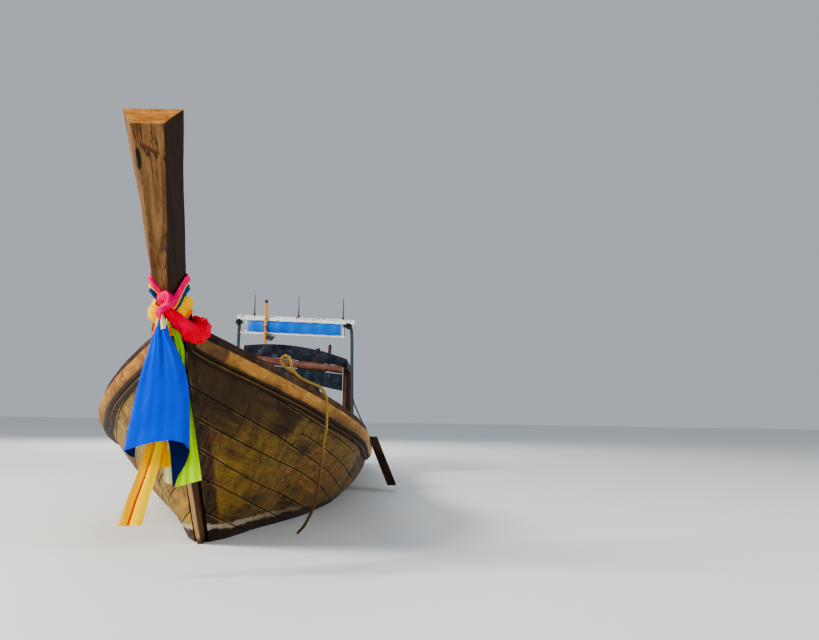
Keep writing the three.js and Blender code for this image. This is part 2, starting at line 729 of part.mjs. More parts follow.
function buildEngine() {
  const cradle = join(
    box(-420, 980, -112, -72, -50, 10),
    box(-420, 980, 72, 112, -50, 10),
    box(-420, -370, -112, 112, -50, 10),
    box(-420, -370, -40, 40, 9, SHAFT_UP - 26.4),
    box(930, 980, -112, 112, -50, 10),
    bar([0, -158, 0], [0, 158, 0], 16, 16, 24),
  );
  add('engine_cradle', alongShaft(cradle), 0x2c4a6a, 0.5, 0.5);
  const block = join(
    box(160, 860, -150, 150, 60, 330),
    box(180, 840, -110, 110, 320, 460),
    box(200, 780, -60, 60, -40, 70),
  );
  const feet = [[200, 260], [740, 800]].map(([a, b]) => box(a, b, -112, 112, 10.6, 62));
  add('engine_block', alongShaft(join(block, ...feet)), 0x3c4446, 0.6, 0.5);
  const housing = bar([20, 0, SHAFT_UP], [159.6, 0, SHAFT_UP], 80, 130, 20);
  add('bell_housing', alongShaft(housing), 0x5a5e60, 0.7, 0.5);
  add('radiator', alongShaft(box(890, 960, -210, 210, 10.6, 440)), 0x16181a, 0.5, 0.6);
  add('exhaust_pipe', alongShaft(tube([
    [500, 150.4, 260], [500, 165, 260], [500, 190, 260], [490, 240, 285], [440, 260, 330], [380, 262, 560], [300, 264, 800],
  ], 28, 20, 12)), 0x6a4a38, 0.8, 0.6);
  add('air_filter', alongShaft(bar([420, -30, 460.6], [420, -30, 560], 110, 110, 20)), 0x1e2022);
  add('tiller', alongShaft(tube([
    [980.4, 92, -20], [1000, 92, -20], [1040, 92, -20], [1120, 92, 10], [1200, 80, 60], [1340, 60, 90],
  ], 17, 14, 10)), 0x6c7074, 0.8, 0.4);
  const shaft = bar([-3330, 0, SHAFT_UP], [19.6, 0, SHAFT_UP], 26, 26, 14);
  add('shaft_tube', alongShaft(shaft), 0x767a7e, 0.8, 0.4);
}

function buildPropeller() {
  const hub = bar([-3430, 0, SHAFT_UP], [-3330.6, 0, SHAFT_UP], 22, 32, 16);
  const blades = [0, 1].map((k) => {
    const blade = new THREE.BoxGeometry(8, 60, 125);
    blade.translate(0, 0, 80).rotateZ(0.5);
    return blade.rotateX(Math.PI * k).translate(-3380, 0, SHAFT_UP);
  });
  add('propeller', alongShaft(join(hub, ...blades)), 0xb08d3c, 0.9, 0.4);
}

buildHull();
buildGantry();
buildCanopy();
buildSideLadder();
buildMooring();
buildSashes();
buildTurret();
buildEngine();
buildPropeller();

export default group;
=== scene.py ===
import math

import bmesh
import bpy
import numpy as np
from mathutils import Matrix, Vector


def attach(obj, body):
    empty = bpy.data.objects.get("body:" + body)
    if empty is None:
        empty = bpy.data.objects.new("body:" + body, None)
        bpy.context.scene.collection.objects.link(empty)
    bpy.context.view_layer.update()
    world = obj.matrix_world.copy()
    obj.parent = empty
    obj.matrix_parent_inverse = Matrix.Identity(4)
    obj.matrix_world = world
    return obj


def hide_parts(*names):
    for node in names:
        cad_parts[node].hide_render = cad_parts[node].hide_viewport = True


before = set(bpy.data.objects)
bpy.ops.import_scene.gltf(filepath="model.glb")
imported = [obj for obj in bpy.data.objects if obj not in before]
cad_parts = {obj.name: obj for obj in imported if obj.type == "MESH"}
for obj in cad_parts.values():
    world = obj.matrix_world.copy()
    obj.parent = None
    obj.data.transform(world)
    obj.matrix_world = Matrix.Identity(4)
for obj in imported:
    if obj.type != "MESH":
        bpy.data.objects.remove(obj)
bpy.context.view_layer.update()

# The viewer's eye is low over the water, ahead of the stem and a little to port. The floor is the water's level.
# Soft studio light comes from the starboard bow, with a weak fill to port and a third light from astern.
EYE = Vector((10.919, 1.143, 0.85))
yaw, pitch, roll = (math.radians(a) for a in (1.8553, 6.0111, 0.9496))
look = Vector((-math.cos(yaw) * math.cos(pitch), math.sin(yaw) * math.cos(pitch), math.sin(pitch)))
level_right = look.cross(Vector((0, 0, 1))).normalized()
level_up = level_right.cross(look)
right = math.cos(roll) * level_right + math.sin(roll) * level_up
up = math.cos(roll) * level_up - math.sin(roll) * level_right
lens = bpy.data.cameras.new("eye")
lens.lens, lens.sensor_width, lens.clip_end = 39.81, 36.0, 400.0
eye = bpy.data.objects.new("eye", lens)
bpy.context.scene.collection.objects.link(eye)
eye.matrix_world = Matrix.Translation(EYE) @ Matrix((right, up, -look)).transposed().to_4x4()
bpy.context.scene.camera = eye
bpy.context.scene.view_settings.look = "AgX - Medium High Contrast"

world = bpy.data.worlds.new("studio")
world.use_nodes = True
world.node_tree.nodes["Background"].inputs["Color"].default_value = (0.80, 0.86, 0.93, 1)
world.node_tree.nodes["Background"].inputs["Strength"].default_value = 0.48
bpy.context.scene.world = world
for name, place, target, size, power, color in (
        ("key_light", (11.0, -11.0, 9.5), (4.0, 0.0, 1.0), 5.0, 3300, (1.0, 0.94, 0.84)),
        ("port_fill", (8.0, 12.0, 6.5), (3.0, 0.5, 0.5), 9.0, 620, (0.90, 0.95, 1.0)),
        ("stern_light", (-14.0, -4.0, 9.0), (-4.0, 0.0, 0.8), 7.0, 1000, (1.0, 0.98, 0.95))):
    lamp = bpy.data.lights.new(name, "AREA")
    lamp.shape, lamp.size, lamp.energy, lamp.color = "DISK", size, power, color
    light = bpy.data.objects.new(name, lamp)
    bpy.context.scene.collection.objects.link(light)
    light.location, light.rotation_mode = place, "QUATERNION"
    light.rotation_quaternion = (Vector(target) - Vector(place)).to_track_quat("-Z", "Y")


# Mooring line: three-strand laid rope 22 mm thick, tied to the bitt and led out over the port rail.
# A stiff bight stands up over the rail. The dry part is yellow; what hangs near the water is wet and brown.
ROPE_RADIUS, ROPE_LAY = 0.011, 0.09
ROPE_ROUTE = np.array([
    (4863.4, 33.3, 760), (4874, 76, 762), (4910, 200, 800), (4865, 340, 875), (4775, 455, 970),
    (4728, 545, 1026), (4742, 588, 1082), (4765, 575, 1112), (4778, 540, 1138), (4780, 505, 1165),
    (4780, 484, 1191), (4782, 483, 1217), (4790, 506, 1236), (4800, 536, 1222), (4808, 551, 1190),
    (4810, 557, 1156), (4806, 580, 1119), (4797, 606, 1094), (4772, 628, 1079), (4730, 652, 1068),
    (4690, 675, 1058), (4660, 701, 1048), (4638, 727, 1038), (4622, 752, 1020), (4604, 777, 975),
    (4595, 785, 900), (4582, 785, 760), (4560, 769, 666), (4530, 751, 476), (4490, 714, 239),
    (4440, 647, 84), (4402, 590, 12),
]) / 1000


class Value:
    """What a shader node gives, so that sums on it can be written plainly."""

    def __init__(self, nodes, socket):
        self.nodes, self.socket = nodes, socket

    def sum(self, operation, *others):
        return self.nodes.node("Math", 0, dict(enumerate((self, *others))), operation=operation)

    def __add__(self, other):
        return self.sum("ADD", other)

    def __sub__(self, other):
        return self.sum("SUBTRACT", other)

    def __mul__(self, other):
        return self.sum("MULTIPLY", other)

    def __abs__(self):
        return self.sum("ABSOLUTE")

    def share(self, low, high, to_low=0.0, to_high=1.0):
        """The value's share of the way from low to high, as a number from to_low to to_high."""
        return self.nodes.node("MapRange", "Result", {
            "Value": self, "From Min": low, "From Max": high, "To Min": to_low, "To Max": to_high})

    def stops(self, *stops):
        """The value as a colour, from places and their colours."""
        made = self.nodes.node("ValToRGB", "Color", {"Fac": self})
        bar = made.socket.node.color_ramp
        while len(bar.elements) < len(stops):
            bar.elements.new(0.5)
        for element, (place, color) in zip(bar.elements, stops):
            element.position, element.color = place, (*color, 1)
        return made


class Nodes:
    """A node tree, and short ways to add to it."""

    def __init__(self, tree):
        self.tree = tree

    def fill(self, socket, value):
        """Sets an input to a plain value, or links it to what another node gives."""
        if isinstance(value, Value):
            self.tree.links.new(value.socket, socket)
        else:
            socket.default_value = (*value, 1) if socket.type == "RGBA" else value

    def node(self, kind, gives, takes=None, **settings):
        made = self.tree.nodes.new("ShaderNode" + kind)
        for key, value in settings.items():
            setattr(made, key, value)
        for key, value in (takes or {}).items():
            self.fill(made.inputs[key], value)
        return Value(self, made.outputs[gives])

    def outputs(self, value):
        """All that a value's node gives, in order."""
        return [Value(self, socket) for socket in value.socket.node.outputs]

    def axes(self, vector):
        return self.outputs(self.node("SeparateXYZ", 0, {0: vector}))

    def noise(self, vector, scale, detail=3.0, rough=0.55, distortion=0.0, stretch=None):
        if stretch:
            vector = self.node("VectorMath", 0, {0: vector, 1: stretch}, operation="MULTIPLY")
        return self.node("TexNoise", "Fac", {
            "Vector": vector, "Scale": scale, "Detail": detail, "Roughness": rough, "Distortion": distortion})

    def wave(self, vector, scale, way, distortion=0.0):
        return self.node("TexWave", "Fac", {"Vector": vector, "Scale": scale, "Distortion": distortion},
                         bands_direction=way)


class Finish(Nodes):
    """A material with its shader."""

    def __init__(self, name, rough=0.6, metal=0.0, **plain):
        self.material = bpy.data.materials.new(name)
        self.material.use_nodes = True
        super().__init__(self.material.node_tree)
        shine = 0.5 if rough < 0.4 or metal else 0.25
        self.set(Roughness=rough, Metallic=metal, Specular_IOR_Level=shine, **plain)

    def set(self, **values):
        for key, value in values.items():
            self.fill(self.tree.nodes["Principled BSDF"].inputs[key.replace("_", " ")], value)

    def place(self):
        return self.node("NewGeometry", "Position")

    def kept(self, name="grain", gives="Fac"):
        """An attribute of the mesh."""
        return self.node("Attribute", "Vector" if name == "grain" else gives, attribute_name=name)

    def apply(self, group, **takes):
        """A shared effect on this finish, and all that it gives."""
        return self.outputs(self.node("Group", 0, takes, node_tree=group))

    def coats(self, base, *coats, mode="MIX"):
        """The base colour with a share of each coat's colour over it in turn."""
        for share, color in coats:
            base = self.node("Mix", 2, {0: share, 6: base, 7: color}, data_type="RGBA", blend_type=mode)
        return base

    def look(self, color, height, depth, rough=None):
        """Ends the finish with its colour, its relief in metres and its roughness."""
        self.set(Base_Color=color, Normal=self.node("Bump", "Normal", {"Height": height, "Distance": depth}))
        if rough:
            self.set(Roughness=rough)
        return self.material


def ripple(turns, ahead=0.0):
    """A wave that rises and falls once in each turn, begun some way ahead."""
    return math.sin(6.28 * turns + ahead)


def gathered(parts):
    """Several shapes as one list of points, faces and grain."""
    points, faces, grain = [], [], []
    for part_points, part_faces, part_grain in parts:
        faces += [[len(points) + int(i) for i in face] for face in part_faces]
        points += [tuple(map(float, point)) for point in part_points]
        grain += list(part_grain)
    return points, faces, grain


def make_piece(name, parts, finish, slot, nodes=(), body="hull", angle=32, **values):
    """One piece of several shapes, with their grain and other values kept at each point."""
    points, faces, grain = gathered(parts)
    mesh = bpy.data.meshes.new(name)
    mesh.from_pydata(points, [], faces)
    mesh.attributes.new("grain", "FLOAT_VECTOR", "POINT").data.foreach_set(
        "vector", np.asarray(grain, np.float32).ravel())
    for key, numbers in values.items():
        mesh.attributes.new(key, "FLOAT", "POINT").data.foreach_set("value", np.asarray(numbers, np.float32))
    shape = bmesh.new()
    shape.from_mesh(mesh)
    bmesh.ops.recalc_face_normals(shape, faces=shape.faces)
    shape.to_mesh(mesh)
    shape.free()
    mesh.polygons.foreach_set("use_smooth", [True] * len(mesh.polygons))
    mesh.set_sharp_from_angle(angle=math.radians(angle))
    mesh.materials.append(finish)
    piece = bpy.data.objects.new(name, mesh)
    bpy.context.scene.collection.objects.link(piece)
    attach(piece, body)
    if nodes:
        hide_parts(*nodes)
    return piece


def skinned(rings, grain=lambda points: points):
    """A closed tube through like rings of points, with flat ends. Its grain is listed, or made from the points."""
    rings = np.asarray(rings, float)
    rows, count = rings.shape[:2]
    faces = [(k * count + i, k * count + j, (k + 1) * count + j, (k + 1) * count + i)
             for k in range(rows - 1) for i, j in enumerate([*range(1, count), 0])]
    faces += [range(count)[::-1], range((rows - 1) * count, rows * count)]
    points = rings.reshape(-1, 3)
    return points, faces, grain(points) if callable(grain) else grain


def eased(points, step):
    """A smooth line through the points, in even steps."""
    points = np.asarray(points, float)
    ends = np.vstack([2 * points[0] - points[1], points, 2 * points[-1] - points[-2]])
    line = []
    for a, b, c, d in zip(ends, ends[1:], ends[2:], ends[3:]):
        for t in np.linspace(0, 1, 16, endpoint=False):
            line.append(0.5 * (2 * b + (c - a) * t + (2 * a - 5 * b + 4 * c - d) * t * t
                               + (3 * b - a - 3 * c + d) * t ** 3))
    line = np.array([*line, points[-1]])
    run = run_along(line)
    even = np.linspace(0, run[-1], max(2, round(run[-1] / step)) + 1)
    return np.stack([np.interp(even, run, line[:, i]) for i in range(3)], 1), even


def run_along(line):
    """The length of the line up to each of its points."""
    return np.r_[0, np.cumsum(np.linalg.norm(np.diff(line, axis=0), axis=1))]


def carried_frames(line):
    """Two axes square to the line at each point, turned no more than the line turns."""
    ahead = np.gradient(line, axis=0)
    ahead /= np.linalg.norm(ahead, axis=1)[:, None]
    side, sides = np.cross(ahead[0], (0.3, 0.2, 1.0)), []
    for way in ahead:
        side = side - way * (side @ way)
        side = side / np.linalg.norm(side)
        sides.append(side)
    return np.array(sides), np.cross(ahead, sides)


def ring_about(place, reach, sweep, side, rise):
    """Points about a place, at a reach for each angle of the sweep."""
    return place + np.reshape(reach, (-1, 1)) * (np.cos(sweep)[:, None] * side + np.sin(sweep)[:, None] * rise)


rope_line, rope_run = eased(ROPE_ROUTE, 0.006)
strand = ROPE_RADIUS / 2.155
around = np.linspace(0, 2 * np.pi, 24, endpoint=False)
rope_rings, rope_grain = [], []
for place, run, side, rise in zip(rope_line, rope_run, *carried_frames(rope_line)):
    near = np.mod(around - 2 * np.pi * run / ROPE_LAY + np.pi / 3, 2 * np.pi / 3) - np.pi / 3
    reach = (ROPE_RADIUS - strand) * np.cos(near) + np.sqrt(
        np.maximum(strand ** 2 - ((ROPE_RADIUS - strand) * np.sin(near)) ** 2, 0))
    rope_rings.append(ring_about(place, np.maximum(reach, 0.70 * ROPE_RADIUS), around, side, rise))
    rope_grain += [(run * 0.3, near_k * 0.01, near_k) for near_k in near]
rope_rings[-1] = rope_line[-1] + (rope_rings[-1] - rope_line[-1]) * 0.8

yarn = Finish("rope_yarn", 0.78)
wet = (yarn.axes(yarn.place())[2] + yarn.noise(yarn.kept(), 9.0)).share(1.25, 0.95)
yarns = yarn.wave(yarn.kept(), 260.0, "DIAGONAL", 3.0)
dry_rope = yarns.stops((0.0, (0.22, 0.11, 0.020)), (0.6, (0.58, 0.36, 0.075)), (1.0, (0.78, 0.56, 0.16)))
wet_rope = yarns.stops((0.0, (0.06, 0.03, 0.01)), (1.0, (0.34, 0.19, 0.06)))
rope_yarn = yarn.look(yarn.coats(dry_rope, (wet, wet_rope)), yarns, 0.0012, wet.share(0, 1, 0.82, 0.5))
mooring_line = make_piece(
    "mooring_line", [skinned(rope_rings, rope_grain)], rope_yarn, "rope", ["mooring_rope"], angle=60)


# Carvel planking: hardwood planks about 30 mm thick and 110 to 170 mm wide, edge to edge on the ribs, caulked.
# Oiled and weathered: olive brown to ochre, streaked downward, with a pale worn line just over the water near the
# stem and a wet band below it. Painted shadow darkens the port bow under the rail, painted shade darkens the port
# planks beside the stem, and the starboard side is painted lighter as if sunlit.
HALF_BEAM, RAIL_PROUD, KEEL_HALF = 1.029, 0.055, 0.0447
STEM_AT, STEM_TOP, STERN_AT, STERN_TOP, LOW_AT, LOW_TOP = 5.891, 1.339, -5.7, 0.8, 0.9, 0.48
KEEL_LINE = np.array([(-5.7, -.12), (-4.4, -.2), (-3, -.25), (-1.2, -.283), (3.7, -.285), (4.25, -.262),
                      (4.62, -.13), (4.8, 0), (5.12, .36), (5.55, .9), (5.891, 1.339)])
FULLNESS = np.array([(-5.7, 2.4), (-2, 2.2), (-.21, 2.05), (.89, 1.77), (2.01, 1.62), (3.02, 1.36),
                     (3.75, 1.1), (4.19, .95), (4.7, 1), (5.891, 1)])
PLANK_THICK, PLANK_END, RAIL_TALL, RIB_SPACING = 0.030, 5.76, 0.105, 0.45
BUTT_GAP, BUTT_EASE = 0.0008, 0.004
SEAM_STATIONS = (-5.7, -3.0, 0.0, 3.0, 3.65, 4.3, 4.75, 5.3, 5.76)
SEAMS = {  # girth below the sheer at each station
    "sheer": (0, 0, 0, 0, 0, 0, 0, 0, 0),
    "a": (.150, .165, .170, .168, .164, .157, .129, .105, .080),
    "nib": (.290, .315, .325, .310, .298, .269, .235, .200, .150),
    "b": (.420, .460, .475, .450, .415, .393, .335, .305, .240),
    "c": (.560, .600, .620, .580, .545, .512, .490, .455, .380),
    "d": (.710, .770, .800, .785, .760, .720, .687, .600, .520),
    "e": (.860, .930, .970, .950, .925, .879, .805, .755, .680),
    "f": (1.00, 1.09, 1.14, 1.12, 1.10, 1.06, 1.00, .920, .850),
    "g": (1.12, 1.24, 1.31, 1.29, 1.28, 1.25, 1.18, 1.10, 1.00),
    "h": (1.25, 1.39, 1.47, 1.46, 1.44, 1.40, 1.34, 1.25, 1.15),
    "foot": (9, 9, 9, 9, 9, 9, 9, 9, 9),
}
PLANKS = (  # upper seam, lower seam, butts
    ("sheer", "a", (-5.7, -1.8, 2.9, 5.76)), ("a", "b", (4.5, 5.76)), ("a", "nib", (-5.7, -3.2, 0.6, 4.5)),
    ("nib", "b", (-5.7, -1.9, 1.9, 4.5)), ("b", "c", (-5.7, -0.9, 3.3, 5.76)), ("c", "d", (-5.7, -3.6, 2.3, 5.76)),
    ("d", "e", (-5.7, -3.0, 0.2, 4.05, 5.76)), ("e", "f", (-5.7, -1.9, 1.4, 5.76)),
    ("f", "g", (-5.7, -2.4, 3.0, 5.76)), ("g", "h", (-5.7, 0.0, 5.76)), ("h", "foot", (-5.7, 5.76)))
SIDES = (("port", 1), ("starboard", -1))


def sheer(x):
    return (LOW_TOP + (STEM_TOP - LOW_TOP) * max(0.0, (x - LOW_AT) / (STEM_AT - LOW_AT)) ** 2
            + (STERN_TOP - LOW_TOP) * min(1.0, max(0.0, (LOW_AT - x) / (LOW_AT - STERN_AT))) ** 2)


def half_beam(x):
    entry = 1 - (1 - min(1.0, max(0.0, (STEM_AT - x) / 2.683))) ** 1.863
    aft = min(1.0, max(0.0, (1.0 - x) / (1.0 - STERN_AT)))
    wide = ((HALF_BEAM + RAIL_PROUD) * entry - RAIL_PROUD) * (1 - (1 - 0.59 / HALF_BEAM) * aft ** 2.2)
    return max(KEEL_HALF + 0.012, wide)


class Section:
    """The planks' outer line at one station, measured along its girth down from the sheer."""

    def __init__(self, x):
        keel, top, half = np.interp(x, *KEEL_LINE.T), sheer(x), half_beam(x)
        power, foot = np.interp(x, *FULLNESS.T), KEEL_HALF + 0.0004
        strip = min(RAIL_TALL, (top - keel) * 0.8)
        last = math.acos((strip / (top - keel)) ** (power / 2))
        turn = np.linspace(0, last, 40)
        y = foot + (half - foot) * np.sin(turn) ** (2 / power)
        z = keel + (top - keel) * (1 - np.cos(turn) ** (2 / power))
        self.line = np.vstack([(half, top), np.stack([y, z], 1)[::-1]])
        self.run = run_along(self.line)
        self.girth = self.run[-1]

    def at(self, down, inward=0.0):
        """The point at a girth below the sheer, set in from the skin."""
        place, a, b = (np.array([np.interp(s, self.run, self.line[:, i]) for i in (0, 1)])
                       for s in (down, max(0, down - 0.02), min(self.girth, down + 0.02)))
        along = (b - a) / max(1e-6, np.linalg.norm(b - a))
        place = place + inward * np.array([along[1], -along[0]])
        return max(KEEL_HALF + 0.0004, place[0]), place[1]


sections = {}


def section(x):
    key = round(float(x), 5)
    if key not in sections:
        sections[key] = Section(key)
    return sections[key]


def seam(name, x):
    return float(np.mean([np.interp(x + d, SEAM_STATIONS, SEAMS[name]) for d in (-.3, -.15, 0, .15, .3)]))


def effect(name, takes, gives):
    """A shared effect's node group: the group, what it takes and the places for what it gives."""
    group = bpy.data.node_groups.new(name, "ShaderNodeTree")
    for key, value in takes.items():
        kind = "NodeSocketVector" if value is None else "NodeSocketFloat"
        socket = group.interface.new_socket(name=key, in_out="INPUT", socket_type=kind)
        if value is not None:
            socket.default_value = value
    for key in gives:
        group.interface.new_socket(name=key, in_out="OUTPUT", socket_type="NodeSocketFloat")
    nodes, entry = Nodes(group), group.nodes.new("NodeGroupInput")
    return nodes, [Value(nodes, entry.outputs[key]) for key in takes], group.nodes.new("NodeGroupOutput").inputs


# Timber grain, with X along the grain, in metres: broad figure, fine fibres and drying cracks.
nodes, (grain, size, cracked), gives = effect(
    "timber_grain", {"Grain": None, "Size": 1.0, "Cracks": 0.5}, ("Figure", "Fibre", "Cracks", "Height"))
timber_grain, sized = nodes.tree, nodes.node("VectorMath", 0, {0: grain, 1: size}, operation="MULTIPLY")
figure = nodes.noise(sized, 1.0, 4.0, 0.6, 0.8, (1.3, 16.0, 16.0))
fibre = nodes.noise(sized, 1.0, 5.0, 0.65, 0.2, (5.0, 190.0, 190.0))
parted = abs(nodes.noise(sized, 1.0, 2.0, 0.5, 0.5, (1.6, 42.0, 42.0)) - 0.5).share(0.018, 0.004)
parted = parted * nodes.noise(sized, 1.0, 1.0, 0.5, 0.0, (1.1, 5.0, 5.0)).share(0.50, 0.60) * cracked
for key, value in (("Figure", figure), ("Fibre", fibre), ("Cracks", parted),
                   ("Height", fibre * 0.45 + figure * 0.25 - parted * 1.1)):
    nodes.fill(gives[key], value)

# Weather stains by place on the boat, in metres: broad blotches, run-down streaks and small pale scuffs.
nodes, (place,), gives = effect("weather_stains", {"Place": None}, ("Blotch", "Streak", "Scuff"))
weather_stains = nodes.tree
nodes.fill(gives["Blotch"], nodes.noise(place, 3.1, 6.0, 0.62, 0.4))
nodes.fill(gives["Streak"], nodes.noise(place, 1.0, 4.0, 0.6, 0.5, (13, 13, 1.5)))
nodes.fill(gives["Scuff"], nodes.noise(place, 1.0, 3.0, 0.6, 0.2, (44, 44, 3.2)))

hull = Finish("hull_oak", 0.62)
place = hull.place()
x, y, z = hull.axes(place)
figure, fibre, cracks, height = hull.apply(timber_grain, Grain=hull.kept(), Size=1.0, Cracks=0.45)
blotch, streak, scuff = hull.apply(weather_stains, Place=place)
plank_tone, seam_gap = hull.kept("tone"), hull.kept("seam_gap")
bay = (x.sum("DIVIDE", RIB_SPACING) + plank_tone * 5.0).sum("FLOOR")
bay = hull.node("CombineXYZ", 0, {0: bay, 1: plank_tone * 50.0})
bay_tone = hull.node("TexWhiteNoise", "Value", {"Vector": bay})
tone = blotch * 0.95 + (plank_tone - 0.5) * 0.20 + (figure - 0.5) * 0.55 + (bay_tone - 0.5) * 0.22
oak = tone.stops(
    (0.20, (0.016, 0.007, 0.003)), (0.36, (0.080, 0.036, 0.009)), (0.46, (0.165, 0.096, 0.016)),
    (0.56, (0.250, 0.160, 0.025)), (0.66, (0.215, 0.085, 0.020)), (0.82, (0.380, 0.240, 0.060)))
oak = hull.coats(oak, (1.0, fibre.stops((0.25, (0.45, .42, .38)), (0.62, (1.12, 1.1, 1.05)))), mode="MULTIPLY")
# Painted shade: the port planks beside the stem are darkened, as on the stem's shaded port face.
stem_shade_strip = (x - z * 0.815).share(4.705, 4.730) * y.share(-0.02, 0.0)
painted_stem_shade = hull.noise(place, 1.0, 3.0, 0.55, 0.1, (46, 46, 0.9)).stops(
    (0.38, (0.012, 0.006, 0.003)), (0.54, (0.050, 0.024, 0.010)), (0.74, (0.100, 0.048, 0.016)))
over_water = z + (hull.noise(place, 5.0, 4.0) - 0.5) * 0.10
wet_band = over_water.share(0.086, 0.072)
# Nails in pairs on each rib, 28 mm in from the seams.
from_rib = abs((x + 5.925).sum("MODULO", RIB_SPACING) - RIB_SPACING / 2)
nail = (from_rib.sum("POWER", 2.0) + (seam_gap - 0.028).sum("POWER", 2.0)).sum("SQRT").share(0.0065, 0.0050)
oak = hull.coats(
    oak,
    # Painted light: the starboard side is painted a lighter tone, as if sunlit.
    (y.share(0.05, -0.05) * 0.55, tone.stops((0.3, (0.22, 0.12, 0.022)), (0.6, (0.50, 0.33, 0.075)))),
    (streak.share(0.47, 0.74) * 0.78, (0.022, 0.010, 0.004)),
    (scuff.share(0.57, 0.70) * blotch.share(0.45, 0.62) * 0.60, (0.36, 0.25, 0.10)),
    # Painted shadow under the rail at the port bow.
    (x.share(4.3, 5.2) * y.share(-0.02, 0.02) * (z + blotch * 0.5).share(0.75, 1.15) * 0.86,
     (0.022, 0.011, 0.006)),
    # Painted shade on the port planks beside the stem.
    (stem_shade_strip * 0.93, painted_stem_shade),
    (abs(over_water - 0.100).share(0.024, 0.011) * x.share(3.3, 4.4) * scuff.share(0.30, 0.50, 0.5, 1.0) * 0.85,
     (0.50, 0.41, 0.30)),
    (wet_band * 0.94, (0.026, 0.009, 0.004)),
    (abs(seam_gap - 0.0095).share(0.0035, 0.0015) * hull.noise(place, 9.0, 3.0).share(0.48, 0.62, 0.0, 0.55),
     (0.36, 0.24, 0.10)),
    (seam_gap.share(0.0060, 0.0015) * stem_shade_strip.share(0.0, 1.0, 1.0, 0.15) * 0.85, (0.006, 0.004, 0.002)),
    (cracks * 0.8, (0.02, 0.011, 0.006)),
    (nail * 0.75, (0.030, 0.016, 0.010)))
hull_oak = hull.look(oak, height - nail * 0.5, 0.0016, fibre.share(0.3, 0.7, 0.50, 0.78) - wet_band * 0.06)

random = np.random.default_rng(41)
stations = np.r_[np.arange(-5.7, 3.0, 0.1), np.arange(3.0, 5.77, 0.045)]


def plank(upper, lower, start, end, tone, proud):
    """One plank's rings with its grain vectors and seam distances."""
    inner_x = [x for x in stations if start + 0.02 < x < end - 0.02]
    across = (0.0, 0.0, 0.25, 0.5, 0.75, 1.0, 1.0, 1.0, 0.5, 0.0)
    rings, grain, gaps = [], [], []
    for x in [start + BUTT_GAP, start + BUTT_EASE, *inner_x, end - BUTT_EASE, end - BUTT_GAP]:
        here = section(x)
        top, low = min(seam(upper, x), here.girth), min(seam(lower, x), here.girth)
        if low - top < 0.012:
            continue
        ends = 0.003 if x in (start + BUTT_GAP, end - BUTT_GAP) else 0.0
        edge = min(0.0022, (low - top) / 4)
        ring = []
        for k, share in enumerate(across):
            down = {1: top + edge, 5: low - edge}.get(k, top + (low - top) * share)
            inward = 0.009 if k in (0, 6) else ends - proud if k < 6 else PLANK_THICK
            if 2 <= k <= 4:
                inward -= 0.0012 * (1 - (2 * share - 1) ** 2)
            ring.append((x, *here.at(down, inward)))
            grain.append((x + 7.0 * tone, down, 3.0 * tone + 0.02 * inward))
            gaps.append(min(down - top, low - down, abs(x - start), abs(x - end)) if k else 0.0)
        rings.append(ring)
    return rings, grain, gaps


for side, sign in SIDES:
    parts, gaps, tones = [], [], []
    for upper, lower, joints in PLANKS:
        for start, end in zip(joints, joints[1:]):
            tone, proud = random.uniform(), random.uniform(-0.0012, 0.0012)
            rings, grain, plank_gaps = plank(upper, lower, start, end, tone, proud)
            if len(rings) >= 3:
                parts.append(skinned(np.array(rings) * (1, sign, 1), grain))
                gaps += plank_gaps
                tones += [tone] * len(plank_gaps)
    make_piece(f"planks_{side}", parts, hull_oak, "hull_wood", [f"planking_{side}"], seam_gap=gaps, tone=tones)

# The floor stands for the water's surface and is 90 m wide each way. It stops 10 mm inside the planks' outer
# face, so the hull below it is out of sight and the inside of the boat stays dry.
FLOOR_FAR, SHORE_AFT, SHORE_FORE = 90, -5.71, 4.78
shore = [(SHORE_AFT, 0.0)]
for x in np.r_[np.arange(SHORE_AFT, 4.70, 0.12), 4.70]:
    line = section(x).line[::-1]
    shore.append((x, max(0.02, float(np.interp(0.0, line[:, 1], line[:, 0])) - 0.010)))
shore.append((SHORE_FORE, 0.0))
quads = [[(a, -FLOOR_FAR), (b, -FLOOR_FAR), (b, FLOOR_FAR), (a, FLOOR_FAR)]
         for a, b in ((-FLOOR_FAR, SHORE_AFT), (SHORE_FORE, FLOOR_FAR))]
for _, sign in SIDES:
    quads += [[(x0, sign * y0), (x1, sign * y1), (x1, sign * FLOOR_FAR), (x0, sign * FLOOR_FAR)]
              for (x0, y0), (x1, y1) in zip(shore, shore[1:]) if x1 > x0]
floor_mesh = bpy.data.meshes.new("floor")
floor_mesh.from_pydata([(x, y, 0) for quad in quads for x, y in quad], [],
                       [range(4 * k, 4 * k + 4) for k in range(len(quads))])
floor = bpy.data.objects.new("floor", floor_mesh)
bpy.context.scene.collection.objects.link(floor)
floor_paint = Finish("floor_paint", 0.85)
floor_paint.set(Base_Color=(0.78, 0.79, 0.79), Specular_IOR_Level=0.5)
floor_mesh.materials.append(floor_paint.material)


# Stem and prow: one hewn timber from the forefoot up to a flat sawn head, four-sided and wider at the top.
# Brown and cracked along the grain, with painted shade making its port face nearly black, and pale low on its
# front and starboard faces near the water: a painted highlight where the sun fell, with some wear.
STEM_ROWS = np.array([  # front x, z, back x, z, half width in front, half width behind
    (4262, -352, 4252, -238, 30, 44.7), (4560, -255, 4440, -120, 20, 44.7), (4900, 0, 4680, 90, 14, 44.7),
    (5250, 365, 5030, 440, 14, 44.7), (5700, 870, 5480, 980, 16, 44.7), (5925, 1125, 5730, 1230, 20, 44.7),
    (6020, 1238, 5822, 1314, 25, 44.7), (6110, 1345, 5905, 1395, 30, 58), (6254, 1549, 6052, 1580, 40, 96),
    (6416, 1905, 6276, 1938, 58, 116), (6528, 2078, 6400, 2125, 70, 132), (6643, 2226, 6533, 2338, 82, 152),
]) / 1000
stem_run = run_along(STEM_ROWS[:, :2])
